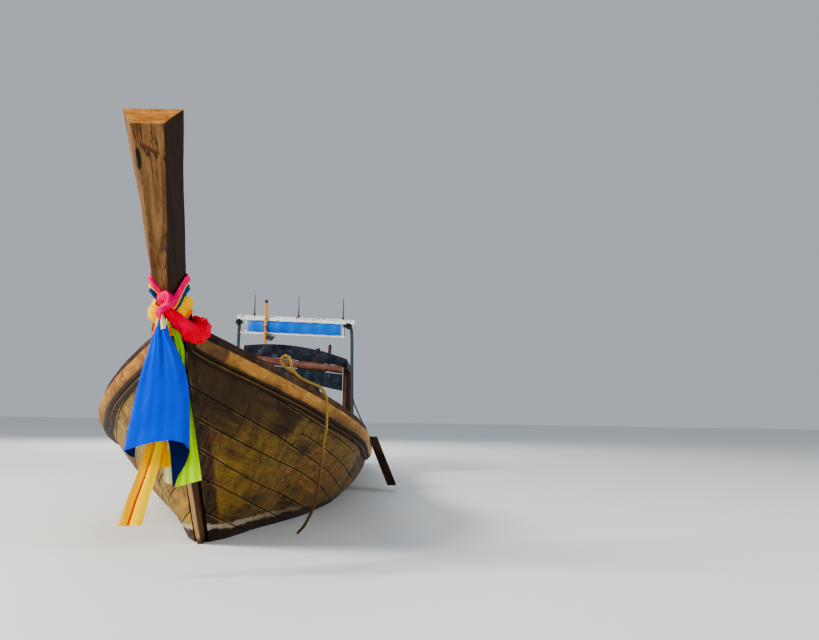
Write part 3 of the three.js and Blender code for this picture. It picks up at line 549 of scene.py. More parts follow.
stem_long = stem_run[-1]


def stem_row(run):
    """Front and back edges and half widths at a length up the stem."""
    near = (-.03, 0, .03) if 0.04 < run < stem_long - 0.04 else (0,)
    return [float(np.mean([np.interp(run + d, stem_run, STEM_ROWS[:, i]) for d in near])) for i in range(6)]


def around_stem(run, grow=0.0, corner=0.006, fine=6):
    """The stem's outline at a length up it, grown outward, with rounded corners."""
    fx, fz, bx, bz, nose, rear = stem_row(run)
    back, ahead = np.array([bx, bz]), np.array([fx, fz]) - (bx, bz)
    long = np.linalg.norm(ahead)
    ahead = ahead / long
    corners = np.array([(long + grow, -nose - grow), (long + grow, nose + grow),
                        (-grow, rear + grow), (-grow, -rear - grow)])
    outline = []
    for k in range(4):
        here, last, after = corners[k], corners[k - 1], corners[(k + 1) % 4]
        room_before, room_after = np.linalg.norm(last - here) * 0.3, np.linalg.norm(after - here) * 0.3
        to_last = (last - here) / np.linalg.norm(last - here)
        to_after = (after - here) / np.linalg.norm(after - here)
        reach = min(corner + grow * 0.6, room_after, room_before)
        outline += [(1 - t) ** 2 * (here + to_last * reach) + 2 * t * (1 - t) * here
                    + t ** 2 * (here + to_after * reach) for t in (0, 0.5, 1)]
        leave, arrive = outline[-1], after - to_after * min(corner + grow * 0.6, room_after)
        outline += [leave + (arrive - leave) * s for s in np.linspace(0, 1, fine, endpoint=False)[1:]]
    return np.array([(*(back + ahead * a)[:1], y, (back + ahead * a)[1]) for a, y in outline])


def worn(points, depth, size, seed=0):
    """Small hollows and swellings of a worn surface, as offsets in x, y and z."""
    phase = np.random.default_rng(seed).uniform(0, 6.28, (3, 5))
    points, offset = np.asarray(points, float), 0
    for k, scale in enumerate((1.0, 1.7, 2.9, 4.3, 6.1)):
        angle = points @ np.array([(1, .35, .6), (.3, 1, .5), (.55, .2, 1)][k % 3]) * scale / size
        offset = offset + np.stack([np.sin(angle * 6.28 + phase[i, k]) for i in range(3)], 1) / scale
    return offset * depth / 2


prow = Finish("prow_oak", 0.66)
place, facing = prow.outputs(prow.place())[:2]
x, y, z = prow.axes(place)
facing_x, facing_y, _ = prow.axes(facing)
figure, fibre, cracks, height = prow.apply(timber_grain, Grain=prow.kept(), Size=0.8, Cracks=1.0)
blotch, _, _ = prow.apply(weather_stains, Place=place)
oak = (figure * 0.7 + fibre * 0.4).stops(
    (0.36, (0.030, 0.012, 0.005)), (0.48, (0.120, 0.056, 0.018)), (0.60, (0.250, 0.132, 0.048)),
    (0.78, (0.360, 0.210, 0.090)))
on_front = facing_x.share(0.3, 0.6)
knot_y, knot_z = (y + 0.062).sum("DIVIDE", 0.0150), (z - 2.082).sum("DIVIDE", 0.046)
smear = (y + 0.004) * 0.42 + (z - 2.124)
smear = abs(smear).share(0.013, 0.008) * abs(y + 0.004).share(0.046, 0.040)
oak = prow.coats(
    oak,
    (blotch.share(0.42, 0.62, 0.0, 0.35), (0.26, 0.10, 0.03)),
    # Painted shade: the port-facing faces are darkened to near black.
    (facing_y.share(0.30, 0.75) * z.share(0.25, 0.8, 0.60, 0.96),
     fibre.stops((0.30, (0.006, 0.003, 0.002)), (0.75, (0.042, 0.018, 0.009)))),
    # Painted highlight with some wear: the low front and starboard faces are made pale.
    (z.share(0.62, 0.40) * facing_y.share(0.45, 0.10) * fibre.share(0.3, 0.7, 0.35, 0.85), (0.62, 0.42, 0.20)),
    ((knot_y * knot_y + knot_z * knot_z).share(1.3, 0.8) * on_front, (0.018, 0.008, 0.004)),
    (smear * on_front * 0.85, (0.10, 0.036, 0.008)),
    (cracks * 0.9, (0.015, 0.008, 0.005)),
    ((z + blotch * 0.06).share(0.085, 0.060) * 0.8, (0.022, 0.014, 0.009)))
prow_oak = prow.look(oak, height, 0.0030, fibre.share(0.3, 0.7, 0.52, 0.80))

cut = Finish("sawn_end", 0.7)
rings_cut = cut.noise(cut.kept(), 1.0, 5.0, 0.65, 1.2, (60.0, 9.0, 30.0))
saw_marks = cut.noise(cut.kept(), 1.0, 3.0, 0.6, 0.0, (190.0, 8.0, 60.0))
sawn_end = cut.look((rings_cut * 0.7 + saw_marks * 0.35).stops(
    (0.36, (0.12, 0.038, 0.008)), (0.50, (0.32, 0.125, 0.022)), (0.68, (0.52, 0.25, 0.055))), saw_marks, 0.0015)

stem_rings, stem_grain = [], []
for run in np.r_[np.arange(0, stem_long - 0.004, 0.045), stem_long - 0.004, stem_long]:
    ring = around_stem(run, -0.004 if run == stem_long else 0.0)
    ring = ring + worn(ring, 0.0016, 0.5, 3)
    stem_rings.append(ring)
    stem_grain += [(run, p[1], p[0] - stem_row(run)[2]) for p in ring]
stem = make_piece("stem_timber", [skinned(stem_rings, stem_grain)], prow_oak, "brown_wood", ["stem_prow"],
                  angle=40)
stem.data.materials.append(sawn_end)
stem.data.polygons[len(stem.data.polygons) - 1].material_index = 1


# Rubbing rails: one tan hardwood strake outside each top plank, in lengths scarfed end to end, with a thin lip
# under it. A dark capping of rougher wood covers the planks' top edges. Both are nailed and worn by ropes.
RAIL_TIP, RAIL_END = np.array([(0.066, 1.236), (0.070, 1.341)]), 5.893
RAIL_SHAPE = ((.001, .015), (.026, .015), (.032, .050), (.032, .135), (.028, .170), (.021, .185), (.021, .225),
              (.043, .240), (.051, .285), (.0535, .380), (.0525, .620), (.0505, .850), (.0480, .930), (.0420, .985),
              (.020, .992), (.001, .992))
CAP_SHAPE = ((0, .03), (0, .70), (.03, .92), (.12, 1.0), (.36, .98), (.62, 1.0), (.88, .97), (.97, .90), (1.0, .68),
             (1, .03))


def rail_strip(x):
    """The top plank's strip under the rail, its lower edge and the sheer, and how far it is to the tip."""
    here, to_tip = section(min(x, PLANK_END)).line[1::-1], max(0.0, (x - PLANK_END) / 0.135)
    return (*(here + (RAIL_TIP - here) * to_tip), to_tip)


def rail_point(x, shape):
    low, high, _ = rail_strip(x)
    place = low + (high - low) * shape[1]
    return x, place[0] + shape[0], place[1]


def cap_point(x, shape):
    _, high, to_tip = rail_strip(x)
    inner = high[0] - 0.032
    inner -= min(0.022, max(0.0, inner - 0.080))
    outer = high[0] + 0.020 + 0.010 * to_tip
    return x, outer + (inner - outer) * shape[0], high[1] + 0.0004 + 0.0612 * shape[1]


def rail_lengths(name, side, sign, point, shapes, joints, finish, slot, node, slope=0.5, depth=0.0012):
    """Like lengths end to end along a rail, each with slanting ends."""
    parts, tones, grooves, lips = [], [], [], []
    centre = np.mean(shapes, axis=0)
    for start, end in zip(joints, joints[1:]):
        tone = random.uniform()
        inner_x = [x for x in (*stations, 5.80, 5.85) if start + 0.04 < x < end - 0.04]
        rings = []
        for x in [start + 0.0006, start + 0.005, *inner_x, end - 0.005, end - 0.0006]:
            ease = 0.93 if x in (start + 0.0006, end - 0.0006) else 1.0
            scarfed = start > -5.69 and x < start + 0.01 or end < 5.8 and x > end - 0.01
            rings.append([point(x + slope * 0.06 * (s[1] - 0.5) * scarfed,
                                centre + (np.array(s) - centre) * ease) for s in shapes])
        rings = np.array(rings)
        rings += worn(rings.reshape(-1, 3), depth, 0.45, int(tone * 99)).reshape(rings.shape) * (0, 1, 1)
        parts.append(skinned(rings * (1, sign, 1), rings.reshape(-1, 3) + (9 * tone, 0, 3 * tone)))
        tones += [tone] * rings[..., 0].size
        grooves += [float(0.16 < s[1] < 0.24) for s in shapes] * len(rings)
        lips += [float(s[1] < 0.17) for s in shapes] * len(rings)
    make_piece(f"{name}_{side}", parts, finish, slot, [f"{node}_{side}"], angle=38,
               tone=tones, groove=grooves, lip=lips)


def plain_timber(name, light, mid, dark, size=1.0, cracks=0.6, rough=0.6, depth=0.0015, stain=0.4, carried=None,
                 more=None):
    """An oiled or bare timber finish: three tones along the grain, blotches, cracks and grime."""
    timber = Finish(name, rough)
    place, grain = timber.place(), timber.kept()
    if carried:
        spot = timber.axes(place)
        grain = timber.node("CombineXYZ", 0, {i: spot["XYZ".index(axis)] for i, axis in enumerate(carried)})
    figure, fibre, split, height = timber.apply(timber_grain, Grain=grain, Size=size, Cracks=cracks)
    blotch, _, _ = timber.apply(weather_stains, Place=place)
    tone = figure * 0.60 + fibre * 0.45
    if not carried:
        tone = tone + (timber.kept("tone") - 0.5) * 0.12
    wood = timber.coats(tone.stops((0.36, dark), (0.52, mid), (0.70, light)),
                        (blotch.share(0.50, 0.68, 0.0, stain), tuple(0.25 * c for c in dark)),
                        (split * 0.9, tuple(0.12 * c for c in dark)))
    if more:
        wood = timber.coats(wood, *more(timber))
    return timber.look(wood, height, depth, fibre.share(0.3, 0.7, rough - 0.10, rough + 0.14))


def rail_coats_and_shade(rail):
    """The dark first length to port, with painted shade in the groove, on the lower lip and on the underside."""
    place, facing = rail.outputs(rail.place())[:2]
    x, y, _ = rail.axes(place)
    # Painted shade: the groove, the lower lip and the downward faces are darkened.
    return ((x.share(5.512, 5.518) * y.share(-0.01, 0.01, 0.0, 0.72), (0.085, 0.042, 0.020)),
            (rail.kept("groove") * 0.92, (0.012, 0.006, 0.003)),
            (rail.kept("lip") * 0.75, (0.095, 0.054, 0.018)),
            (rail.axes(facing)[2].share(-0.35, -0.75) * 0.92, (0.016, 0.008, 0.004)))


rail_tan = plain_timber("rail_tan", (0.62, 0.33, 0.085), (0.42, 0.19, 0.040), (0.16, 0.058, 0.012),
                        1.0, 0.7, 0.56, 0.0014, 0.35, more=rail_coats_and_shade)
cap_brown = plain_timber("cap_brown", (0.15, 0.078, 0.042), (0.048, 0.022, 0.013), (0.014, 0.006, 0.005),
                         1.3, 1.0, 0.72, 0.0030, 0.5)
for side, sign in SIDES:
    joints = (-5.7, -2.3, 1.7, 5.515, RAIL_END) if sign > 0 else (-5.7, -3.1, 0.9, 4.6, RAIL_END)
    rail_lengths("rub_rail_strake", side, sign, rail_point, RAIL_SHAPE, joints, rail_tan, "tan_wood", "rub_rail")
    rail_lengths("capping", side, sign, cap_point, CAP_SHAPE,
                 tuple(j + 0.35 * (abs(j) < 5.6) for j in joints[:-2]) + (5.3, RAIL_END),
                 cap_brown, "dark_wood", "gunwale_cap", 0.9, 0.0022)


# Sashes: lengths of thin satin wound round the prow and knotted on its port edge, with long ends hanging down.
# Each is a single sheet of woven cloth in one plain colour. The wind sets the ends a little to starboard.
def satin(name, light, dark, rough=0.55, inside=None):
    """Thin satin in one colour, with painted shade in the folds, a painted highlight on the crowns and fine threads;
    where inside is given, the back face is painted that colour as shade.
    """
    cloth = Finish(name, rough)
    cloth.set(Specular_IOR_Level=0.12)
    threads = cloth.kept()
    warp, weft = (cloth.wave(threads, 150.0, way, 0.4) for way in "XY")
    crease = cloth.noise(threads, 1.0, 4.0, 0.6, 0.6, (16.0, 3.0, 1.0))
    tone = crease * 0.55 + cloth.noise(threads, 5.0, 3.0) * 0.45
    # Painted shade and highlight: the dark tone in the folds, the light tone on the crowns.
    color = cloth.coats(dark, (tone.share(0.38, 0.62), light))
    # Painted shade on the back face.
    if inside:
        color = cloth.coats(color, (cloth.node("NewGeometry", "Backfacing"), inside))
    return cloth.look(color, warp * weft * 0.12 + crease, 0.0022)


def cloth_sheet(name, place, finish, slot, nodes=(), columns=48, rows=60):
    """A sheet of cloth from a place for each share of the way across and down."""
    grid = np.array([[place(u, v) for u in np.linspace(0, 1, columns)] for v in np.linspace(0, 1, rows)])
    across = np.cumsum(np.linalg.norm(np.diff(grid, axis=1, prepend=grid[:, :1]), axis=2), axis=1)
    down = np.cumsum(np.linalg.norm(np.diff(grid, axis=0, prepend=grid[:1]), axis=2), axis=0)
    faces = [(j * columns + i, j * columns + i + 1, (j + 1) * columns + i + 1, (j + 1) * columns + i)
             for j in range(rows - 1) for i in range(columns - 1)]
    a, b, c, d = (grid[:-1, :-1], grid[:-1, 1:], grid[1:, 1:], grid[1:, :-1])
    area = float(sum(np.linalg.norm(np.cross(p - a, q - a), axis=2).sum() for p, q in ((b, c), (c, d))) / 2)
    threads = np.stack([across, down, np.zeros_like(down)], 2).reshape(-1, 3)
    sheet = make_piece(name, [(grid.reshape(-1, 3), faces, threads)], finish, slot, nodes, angle=80)


def between(table, at):
    """Straight-line lookup in a table whose first column falls."""
    return float(np.interp(at, *np.array(table)[::-1].T))


def eased_step(value):
    value = min(1.0, max(0.0, value))
    return value * value * (3 - 2 * value)


# The blue sash's back face is painted dark navy as shade.
blue_satin = satin("blue_satin", (0.0, 0.075, 0.80), (0.0, 0.050, 0.62), 0.6, (0.0, 0.010, 0.085))
lime_satin = satin("lime_satin", (0.58, 0.92, 0.0), (0.40, 0.76, 0.0))
white_cotton = satin("white_cotton", (0.95, 0.92, 0.55), (0.78, 0.74, 0.30), 0.7)
gold_satin = satin("gold_satin", (1.0, 0.62, 0.0), (1.0, 0.42, 0.0))
orange_satin = satin("orange_satin", (1.0, 0.26, 0.0), (0.72, 0.12, 0.0))
pink_satin = satin("pink_satin", (1.0, 0.0, 0.20), (0.80, 0.0, 0.09))
red_satin = satin("red_satin", (1.0, 0.0, 0.050), (0.70, 0.0, 0.010), 0.6)
band_blue_satin = satin("band_blue_satin", (0.0, 0.065, 0.26), (0.0, 0.022, 0.09))

# The blue sash is folded round its own edges: y of each edge and z of the hem were measured from the photo.
BLUE_LEFT = ((1.37, 0.008), (1.302, -.003), (1.257, -.021), (1.165, -.045), (1.073, -.071), (.981, -.091),
             (.89, -.108), (.8, -.121), (.745, -.132), (.682, -.139), (.655, -.143), (.40, -.148))
BLUE_RIGHT = ((1.37, .034), (1.303, .037), (1.241, .060), (1.168, .102), (1.09, .138), (1.041, .155), (.986, .168),
              (.895, .178), (.805, .183), (.714, .186), (.66, .187), (.40, .187))
BLUE_HEM = ((-.16, .612), (-.08, .620), (0, .645), (.25, .675), (.5, .697), (.75, .706), (.93, .692), (1.0, .662),
            (1.08, .579), (1.187, .525), (1.258, .456), (1.29, .53), (1.32, .62), (1.35, .68), (1.42, .74))
BLUE_TOP, BLUE_X = 1.368, 6.232


def blue_place(u, v):
    s = -0.16 + 1.58 * u
    z = BLUE_TOP + (float(np.interp(s, *np.array(BLUE_HEM).T)) - BLUE_TOP) * v
    left, right = between(BLUE_LEFT, z), between(BLUE_RIGHT, z)
    wide = right - left
    turn, front = min(0.024, 0.30 * wide), 1 if 0 <= s <= 1 else -1
    if front > 0:
        y, inside = left + wide * s, wide * min(s, 1 - s)
    else:
        inside = max(s - 1, -s) * 0.31 * min(1.0, wide / 0.30)
        y = right - inside if s > 1 else left + inside
    hollow = 1 - min(1.0, inside / turn)
    x = BLUE_X + front * turn * math.sqrt(max(0.0, 1 - hollow * hollow))
    if front > 0:
        x += 0.016 * math.sin(math.pi * s) * eased_step((1.36 - z) / 0.5)
    folds = 0.0022 + 0.0030 * eased_step((z - 0.92) / 0.35)
    x += folds * ripple(2.1 * s + 0.30, 1.2 * z) + 0.4 * folds * ripple(5.3 * s, 5.0 * z)
    x += 0.010 * eased_step((0.78 - z) / 0.12) * (front > 0)
    return x, y, z


cloth_sheet("blue_satin_sash", blue_place, blue_satin, "blue_cloth", ["blue_sash"], 90, 80)


def strip_place(left, right, x, hem, folds, depth, lean=0.0, top=1.345):
    """A hanging strip between two measured edges, pleated along its length."""
    def place(u, v):
        z = top + (hem[0] + (hem[1] - hem[0]) * u - top) * v
        a, b = between(left, z), between(right, z)
        pleat = depth * ripple(folds * u + 0.2, 2.0 * z) * (0.5 + 0.5 * eased_step(1.2 - v))
        return x + pleat + lean * v * v, a + (b - a) * u, z
    return place


for name, finish, slot, nodes, columns, rows, *strip in (
        ("lime_satin_sash", lime_satin, "lime_cloth", ["lime_sash"], 36, 60,
         ((1.345, .030), (1.241, .070), (1.17, .085), (1.08, .10), (.85, .085), (.6, .10), (.46, .117)),
         ((1.345, .056), (1.241, .112), (1.168, .135), (1.077, .142), (.95, .165), (.841, .187), (.751, .203),
          (.607, .230), (.48, .251)), 6.198, (0.466, 0.503), 2.6, 0.008),
        ("white_cotton_strip", white_cotton, "lime_cloth", (), 14, 40,
         ((1.34, .020), (.70, .045), (.48, .052)), ((1.34, .045), (.70, .082), (.48, .093)),
         6.186, (0.492, 0.478), 1.4, 0.004),
        ("cream_cotton_tail", white_cotton, "yellow_cloth", (), 16, 14,
         ((1.345, .014), (1.30, .016), (1.265, .020)), ((1.345, .034), (1.30, .042), (1.265, .046)),
         6.262, (1.266, 1.274), 1.5, 0.006),
        ("short_gold_end", gold_satin, "yellow_cloth", (), 18, 44,
         ((1.33, .005), (.70, .008), (.56, .013)), ((1.33, .035), (.70, .074), (.56, .088)),
         6.176, (0.570, 0.566), 1.6, 0.006, 0.02)):
    cloth_sheet(name, strip_place(*strip), finish, slot, nodes, columns, rows)

ribbon = Finish("ribbon_satin", 0.6)
across = ribbon.axes(ribbon.kept())[0]
crease = ribbon.noise(ribbon.kept(), 1.0, 4.0, 0.6, 0.4, (30.0, 2.5, 1.0))
stripe = abs(across - 0.047).share(0.0060, 0.0035)
# Painted light: the crease crowns are a lighter yellow as a painted highlight, and the part left of the pleat a
# deeper orange as painted shade; the orange-red stripe is printed.
ribbon_satin = ribbon.look(ribbon.coats(
    (1.0, 0.52, 0.0), (crease.share(0.40, 0.60), (1.0, 0.70, 0.0)),
    (across.share(0.048, 0.040, 0.0, 0.55), (0.98, 0.40, 0.0)), (stripe, (0.85, 0.035, 0.0))),
    crease - stripe, 0.002)


def ribbon_place(u, v):
    z = 1.334 + (0.268 + 0.006 * u - 1.334) * v
    left = between(((1.334, -.020), (.68, -.037), (.531, -.077), (.397, -.124), (.26, -.163)), z)
    right = between(((1.334, .030), (.68, .048), (.586, .034), (.533, .022), (.399, -.013), (.26, -.047)), z)
    pleat = -0.012 * max(0.0, 1 - abs(u - 0.42) / 0.10) * eased_step((1.0 - z) / 0.3)
    return 6.212 + pleat + 0.003 * math.sin(9 * u + 4 * z), left + (right - left) * u, z


cloth_sheet("gold_striped_ribbon", ribbon_place, ribbon_satin, "yellow_cloth",
            ["yellow_ribbon"], 40, 60)

PORT_EDGE = 13  # the outline's point on the stem's front port edge, where each wrap starts and is lowest


def band_place(front_z, port_rise, starboard_rise, wide, grow, puff, folds, hug):
    """A band wound round the prow, lowest on its front port edge and rising to both sides."""
    outlines = {}

    def outline(run, lift):
        key = (round(run, 4), round(lift, 4))
        if key not in outlines:
            outlines[key] = around_stem(run, lift, 0.012, 10)
        return outlines[key]

    start = float(np.interp(front_z, STEM_ROWS[:, 1], stem_run))
    base = outline(start, grow)
    count = len(base)
    order = [(PORT_EDGE + k) % count for k in range(count + 1)]
    reach = run_along(base[order])

    def place(u, v):
        k = min(count, int(round(u * count)))
        to_port, to_starboard = reach[k], reach[-1] - reach[k]
        rise = min(port_rise * eased_step(to_port / 0.24), 1.0) if to_port < 0.30 else port_rise
        other = starboard_rise * eased_step(to_starboard / 0.10) if to_starboard < 0.12 else starboard_rise
        share = eased_step((to_port - 0.24) / max(0.05, reach[-1] - 0.36))
        lift = rise * (1 - share) + other * share if to_starboard > 0.12 else other
        swell = (1.0 - hug * eased_step(1 - to_starboard / 0.20)) * (grow + puff * math.sin(math.pi * v) ** 0.7)
        swell += 0.0030 * ripple(folds * v, 7 * u)
        return outline(start + lift * 1.22 + (0.5 - v) * wide, swell)[order[k]]
    return place, count + 1


for name, finish, slot, nodes, *band in (
        ("orange_wrap", orange_satin, "gold_cloth", (), 1.286, 0.070, -0.030, 0.078, 0.014, 0.034, 1.6, 0.0),
        ("gold_wrap", gold_satin, "gold_cloth", ("sash_wrap_lower",),
         1.332, 0.062, 0.030, 0.125, 0.010, 0.040, 2.2, 0.0),
        ("blue_wrap", band_blue_satin, "blue_cloth", (), 1.362, 0.120, 0.105, 0.045, 0.016, 0.012, 1.2, 0.5),
        ("gold_edge_wrap", gold_satin, "yellow_cloth", (), 1.388, 0.125, 0.108, 0.016, 0.018, 0.008, 0.6, 0.5),
        ("pink_wrap", pink_satin, "pink_cloth", ("sash_wrap_upper",),
         1.416, 0.116, 0.110, 0.064, 0.008, 0.016, 1.8, 0.6)):
    place, count = band_place(*band)
    cloth_sheet(name, place, finish, slot, nodes, count, 13)


def bundle(name, route, radii, finish, slot, ridges, depth, nodes=(), step=0.006, turns=1.2, flat=0.85):
    """A cloth gathered into ridges and rolled once round itself along a route, its long edge tucked in."""
    line, run = eased(np.array(route), step)
    sweep = np.linspace(0, 2.06 * np.pi, 76)
    tuck = 1 - 0.05 * np.clip((sweep - 1.85 * np.pi) / (0.21 * np.pi), 0, 1)
    rings = []
    for place, at, side, rise in zip(line, run / run[-1], *carried_frames(line)):
        angle = sweep - turns * at * 2 * np.pi
        thick = float(np.interp(at, np.linspace(0, 1, len(radii)), radii))
        ridge = np.sin(ridges * angle + 1.3 * np.sin(6 * at)) + 0.4 * np.sin((2 * ridges + 1) * angle - 5 * at)
        rings.append(ring_about(place, thick * (1 + depth * ridge) * tuck, sweep, side, flat * rise))
    cloth_sheet(name, lambda u, v: rings[round(v * (len(rings) - 1))][round(u * 75)], finish, slot,
                nodes, 76, len(rings))


bundle("scarf_swag", [
    (6.216, .034, 1.402), (6.236, .050, 1.362), (6.205, .092, 1.318), (6.120, .128, 1.276), (6.010, .158, 1.266),
    (5.930, .172, 1.298), (5.872, .148, 1.330), (5.820, .100, 1.345), (5.770, .050, 1.335)],
    (.022, .034, .044, .050, .053, .054, .050, .042, .032), red_satin, "red_cloth", 5, 0.07, ["scarf"])
bundle("scarf_knot", [
    (6.190, .000, 1.405), (6.222, .012, 1.438), (6.240, .040, 1.440), (6.244, .056, 1.405), (6.246, .030, 1.378),
    (6.250, .012, 1.352), (6.246, .022, 1.322)],
    (.018, .026, .028, .026, .024, .028, .012), pink_satin, "pink_cloth", 5, 0.10, (), 0.004, 0.8)


# Banner frame: steel water pipe across the boat before the canopy, its port post bent over into the head rail.
# The rails are painted white and chipped, the posts are painted a dark blue-grey and rusty at the foot.
GANTRY_X, GANTRY_LOWER, GANTRY_TILT = -1.336, 1.905, -0.027


def tilted(x, y, z):
    """The frame's rails drop a little to port."""
    return x, y, z + GANTRY_TILT * y


def pipe(points, radius, step=0.03, sides=20):
    """A round bar or pipe along points, with its distance along and around as grain."""
    line, run = eased(points, step)
    sweep = np.linspace(0, 2 * np.pi, sides, endpoint=False)
    return skinned([ring_about(place, radius, sweep, a, b) for place, a, b in zip(line, *carried_frames(line))],
                   [(at, radius * a, 0) for at in run for a in sweep])


def turned(start, end, profile, sides=32):
    """A turned shape about a line: distance along it and radius for each row."""
    start, end = np.array(start, float), np.array(end, float)
    axis = (end - start) / np.linalg.norm(end - start)
    side = np.cross(axis, (0, 0, 1) if abs(axis[2]) < 0.9 else (1, 0, 0))
    side /= np.linalg.norm(side)
    sweep = np.linspace(0, 2 * np.pi, sides, endpoint=False)
    return skinned([ring_about(start + axis * at, r, sweep, side, np.cross(side, axis)) for at, r in profile],
                   [(at, r * a, 0) for at, r in profile for a in sweep])


def chamfered(low, high, edge):
    """The eight points of a rectangle with its corners cut off."""
    (a, b), (c, d) = low, high
    return [(a + edge, b), (c - edge, b), (c, b + edge), (c, d - edge), (c - edge, d), (a + edge, d), (a, d - edge),
            (a, b + edge)]


def block(low, high, edge=0.003, place=None, across=False, offset=(0, 0, 0)):
    """A chamfered rectangular piece between two corners, with its grain fore and aft or across."""
    low, high = np.minimum(low, high), np.maximum(low, high)
    edge = min(edge, float((high - low).min()) / 3)
    rings = [[(x, y, z) for x, y in chamfered(low[:2] + inset, high[:2] - inset, edge)] for z, inset in (
        (low[2], edge), (low[2] + edge, 0), (high[2] - edge, 0), (high[2], edge))]
    points, faces, grain = skinned(rings, lambda points: points[:, (1, 0, 2) if across else (0, 1, 2)] + offset)
    return (np.array([place(*p) for p in points]) if place else points), faces, grain


def painted_steel(name, paint, under=(0.11, 0.032, 0.012), chips=0.62, rough=0.38, metal=0.0, dirt=0.5,
                  scale=14.0):
    """Brushed-on paint, chipped to rusty steel, with dirt in streaks."""
    steel = Finish(name, rough, metal)
    place = steel.place()
    chip = steel.noise(place, scale, 5.0, 0.65, 0.4).share(chips, chips + 0.025)
    grime = steel.noise(place, 5.0, 4.0, 0.6, 0.3, (1.0, 1.0, 0.4)).share(0.45, 0.70, 0.0, dirt)
    rust = steel.noise(place, 60.0, 4.0).stops((0.35, tuple(0.4 * c for c in under)), (0.62, under))
    color = steel.coats(paint, (grime, tuple(0.42 * c + 0.02 for c in paint)), (chip, rust))
    return steel.look(color, steel.noise(place, 90.0, 3.0) * 0.3 - chip, 0.0006, chip.share(0.0, 1.0, rough, 0.82))


def dress(name, finish, bevel, slot):
    """Gives a solid of the part its finish and, where wanted, eased edges."""
    node = bpy.data.objects[name]
    node.data.materials.clear()
    node.data.materials.append(finish)
    if bevel:
        edge = node.modifiers.new("eased edges", "BEVEL")
        edge.width, edge.segments, edge.limit_method, edge.angle_limit = bevel, 2, "ANGLE", math.radians(34)
    node.data.polygons.foreach_set("use_smooth", [True] * len(node.data.polygons))
    node.data.set_sharp_from_angle(angle=math.radians(34))


blue_grey_steel = painted_steel("blue_grey_steel", (0.026, 0.042, 0.070), rough=0.30, dirt=0.4)
white_steel = painted_steel("white_steel", (0.82, 0.84, 0.84), chips=0.60, rough=0.36)
dark_iron = painted_steel("dark_iron", (0.035, 0.022, 0.018), chips=0.55, rough=0.5)
PORT_POST = ((.800, .3205), (.790, .75), (.778, 1.25), (.767, 1.75), (.762, 1.90), (.757, 1.970), (.742, 2.018),
             (.705, 2.0385), (.640, 2.0410))
posts = [pipe([(GANTRY_X, y, z) for y, z in PORT_POST], 0.021, 0.012, 24),
         pipe([(GANTRY_X, -0.800, 0.3205), (GANTRY_X, -0.757, 2.0995)], 0.021, 0.1, 24)]
for _, sign in SIDES:  # foot flange, stay to the rail and the stay's clamp
    posts.append(turned((GANTRY_X, sign * .8001, .3206), (GANTRY_X, sign * .8, .4), [
        (0, .052), (.004, .054), (.008, .052), (.009, .030), (.030, .027), (.032, .021)]))
    posts.append(pipe([(GANTRY_X, sign * 1.010, sheer(GANTRY_X) + 0.0664), (GANTRY_X, sign * 0.898, 0.81),
                       (GANTRY_X, sign * 0.792, 1.045)], 0.009, 0.05, 14))
    posts.append(turned((GANTRY_X, sign * 0.812, 1.040), (GANTRY_X, sign * 0.750, 1.046), [
        (0, .010), (.004, .013), (.050, .013), (.056, .009)]))
make_piece("banner_frame_posts", posts, blue_grey_steel, "frame_tube", ["banner_frame"])

rails = [block((GANTRY_X - .017, -.789, 2.0805), (GANTRY_X + .017, .796, 2.1225), 0.003, tilted)]
for start, end, radius, step, sides in (
        ((-.790, 2.1380), (.797, 2.1380), 0.0078, 0.1, 16),
        ((-.757, GANTRY_LOWER), (.662, GANTRY_LOWER), 0.0118, 0.1, 20),
        ((-.672, GANTRY_LOWER), (-.672, 2.083), 0.0095, 0.05, 16),
        ((.650, GANTRY_LOWER), (.650, 2.083), 0.0095, 0.05, 16)):
    rails.append(pipe([tilted(GANTRY_X, *start), tilted(GANTRY_X, *end)], radius, step, sides))
for half_x, half_y, low, high, edge, places in (  # spacers under the top rail and collars on the lower one
        (.009, .009, 2.120, 2.140, 0.002, np.arange(-0.78, 0.79, 0.195)),
        (.014, .010, 1.888, 1.921, 0.003, (-.50, -.12, .02, .31, .57))):
    rails += [block((GANTRY_X - half_x, y - half_y, low), (GANTRY_X + half_x, y + half_y, high), edge, tilted)
              for y in places]
make_piece("banner_frame_rails", rails, white_steel, "frame_tube")

vinyl = Finish("sky_blue_vinyl", 0.30, Coat_Weight=0.25, Coat_Roughness=0.2)
dust = vinyl.noise(vinyl.place(), 4.0, 5.0, 0.6, 0.5, (1.0, 1.0, 3.0)).share(0.42, 0.70, 0.0, 0.45)
hem = abs(abs(vinyl.axes(vinyl.kept())[1] - 0.078) - 0.066).share(0.0022, 0.0012)
sky_blue_vinyl = vinyl.look(
    vinyl.coats((0.0, 0.120, 0.62), (dust, (0.03, 0.20, 0.60)), (hem * 0.6, (0.004, 0.06, 0.25))),
    vinyl.noise(vinyl.place(), 3.0, 4.0) - hem * 0.2, 0.006)


def banner_place(u, v):
    y, top, low = -0.638 + 1.250 * u, 2.0785, 1.9240
    slack = 0.004 * ripple(6.5 * u) * (2 * v - 1) ** 2
    z = top + (low - top) * v + slack * (1 if v > 0.5 else -1)
    belly = 0.012 * math.sin(math.pi * v) * (1 + 0.5 * math.sin(7 * u)) + 0.003 * ripple(6.5 * u)
    return tilted(GANTRY_X + 0.003 + belly, y, z)


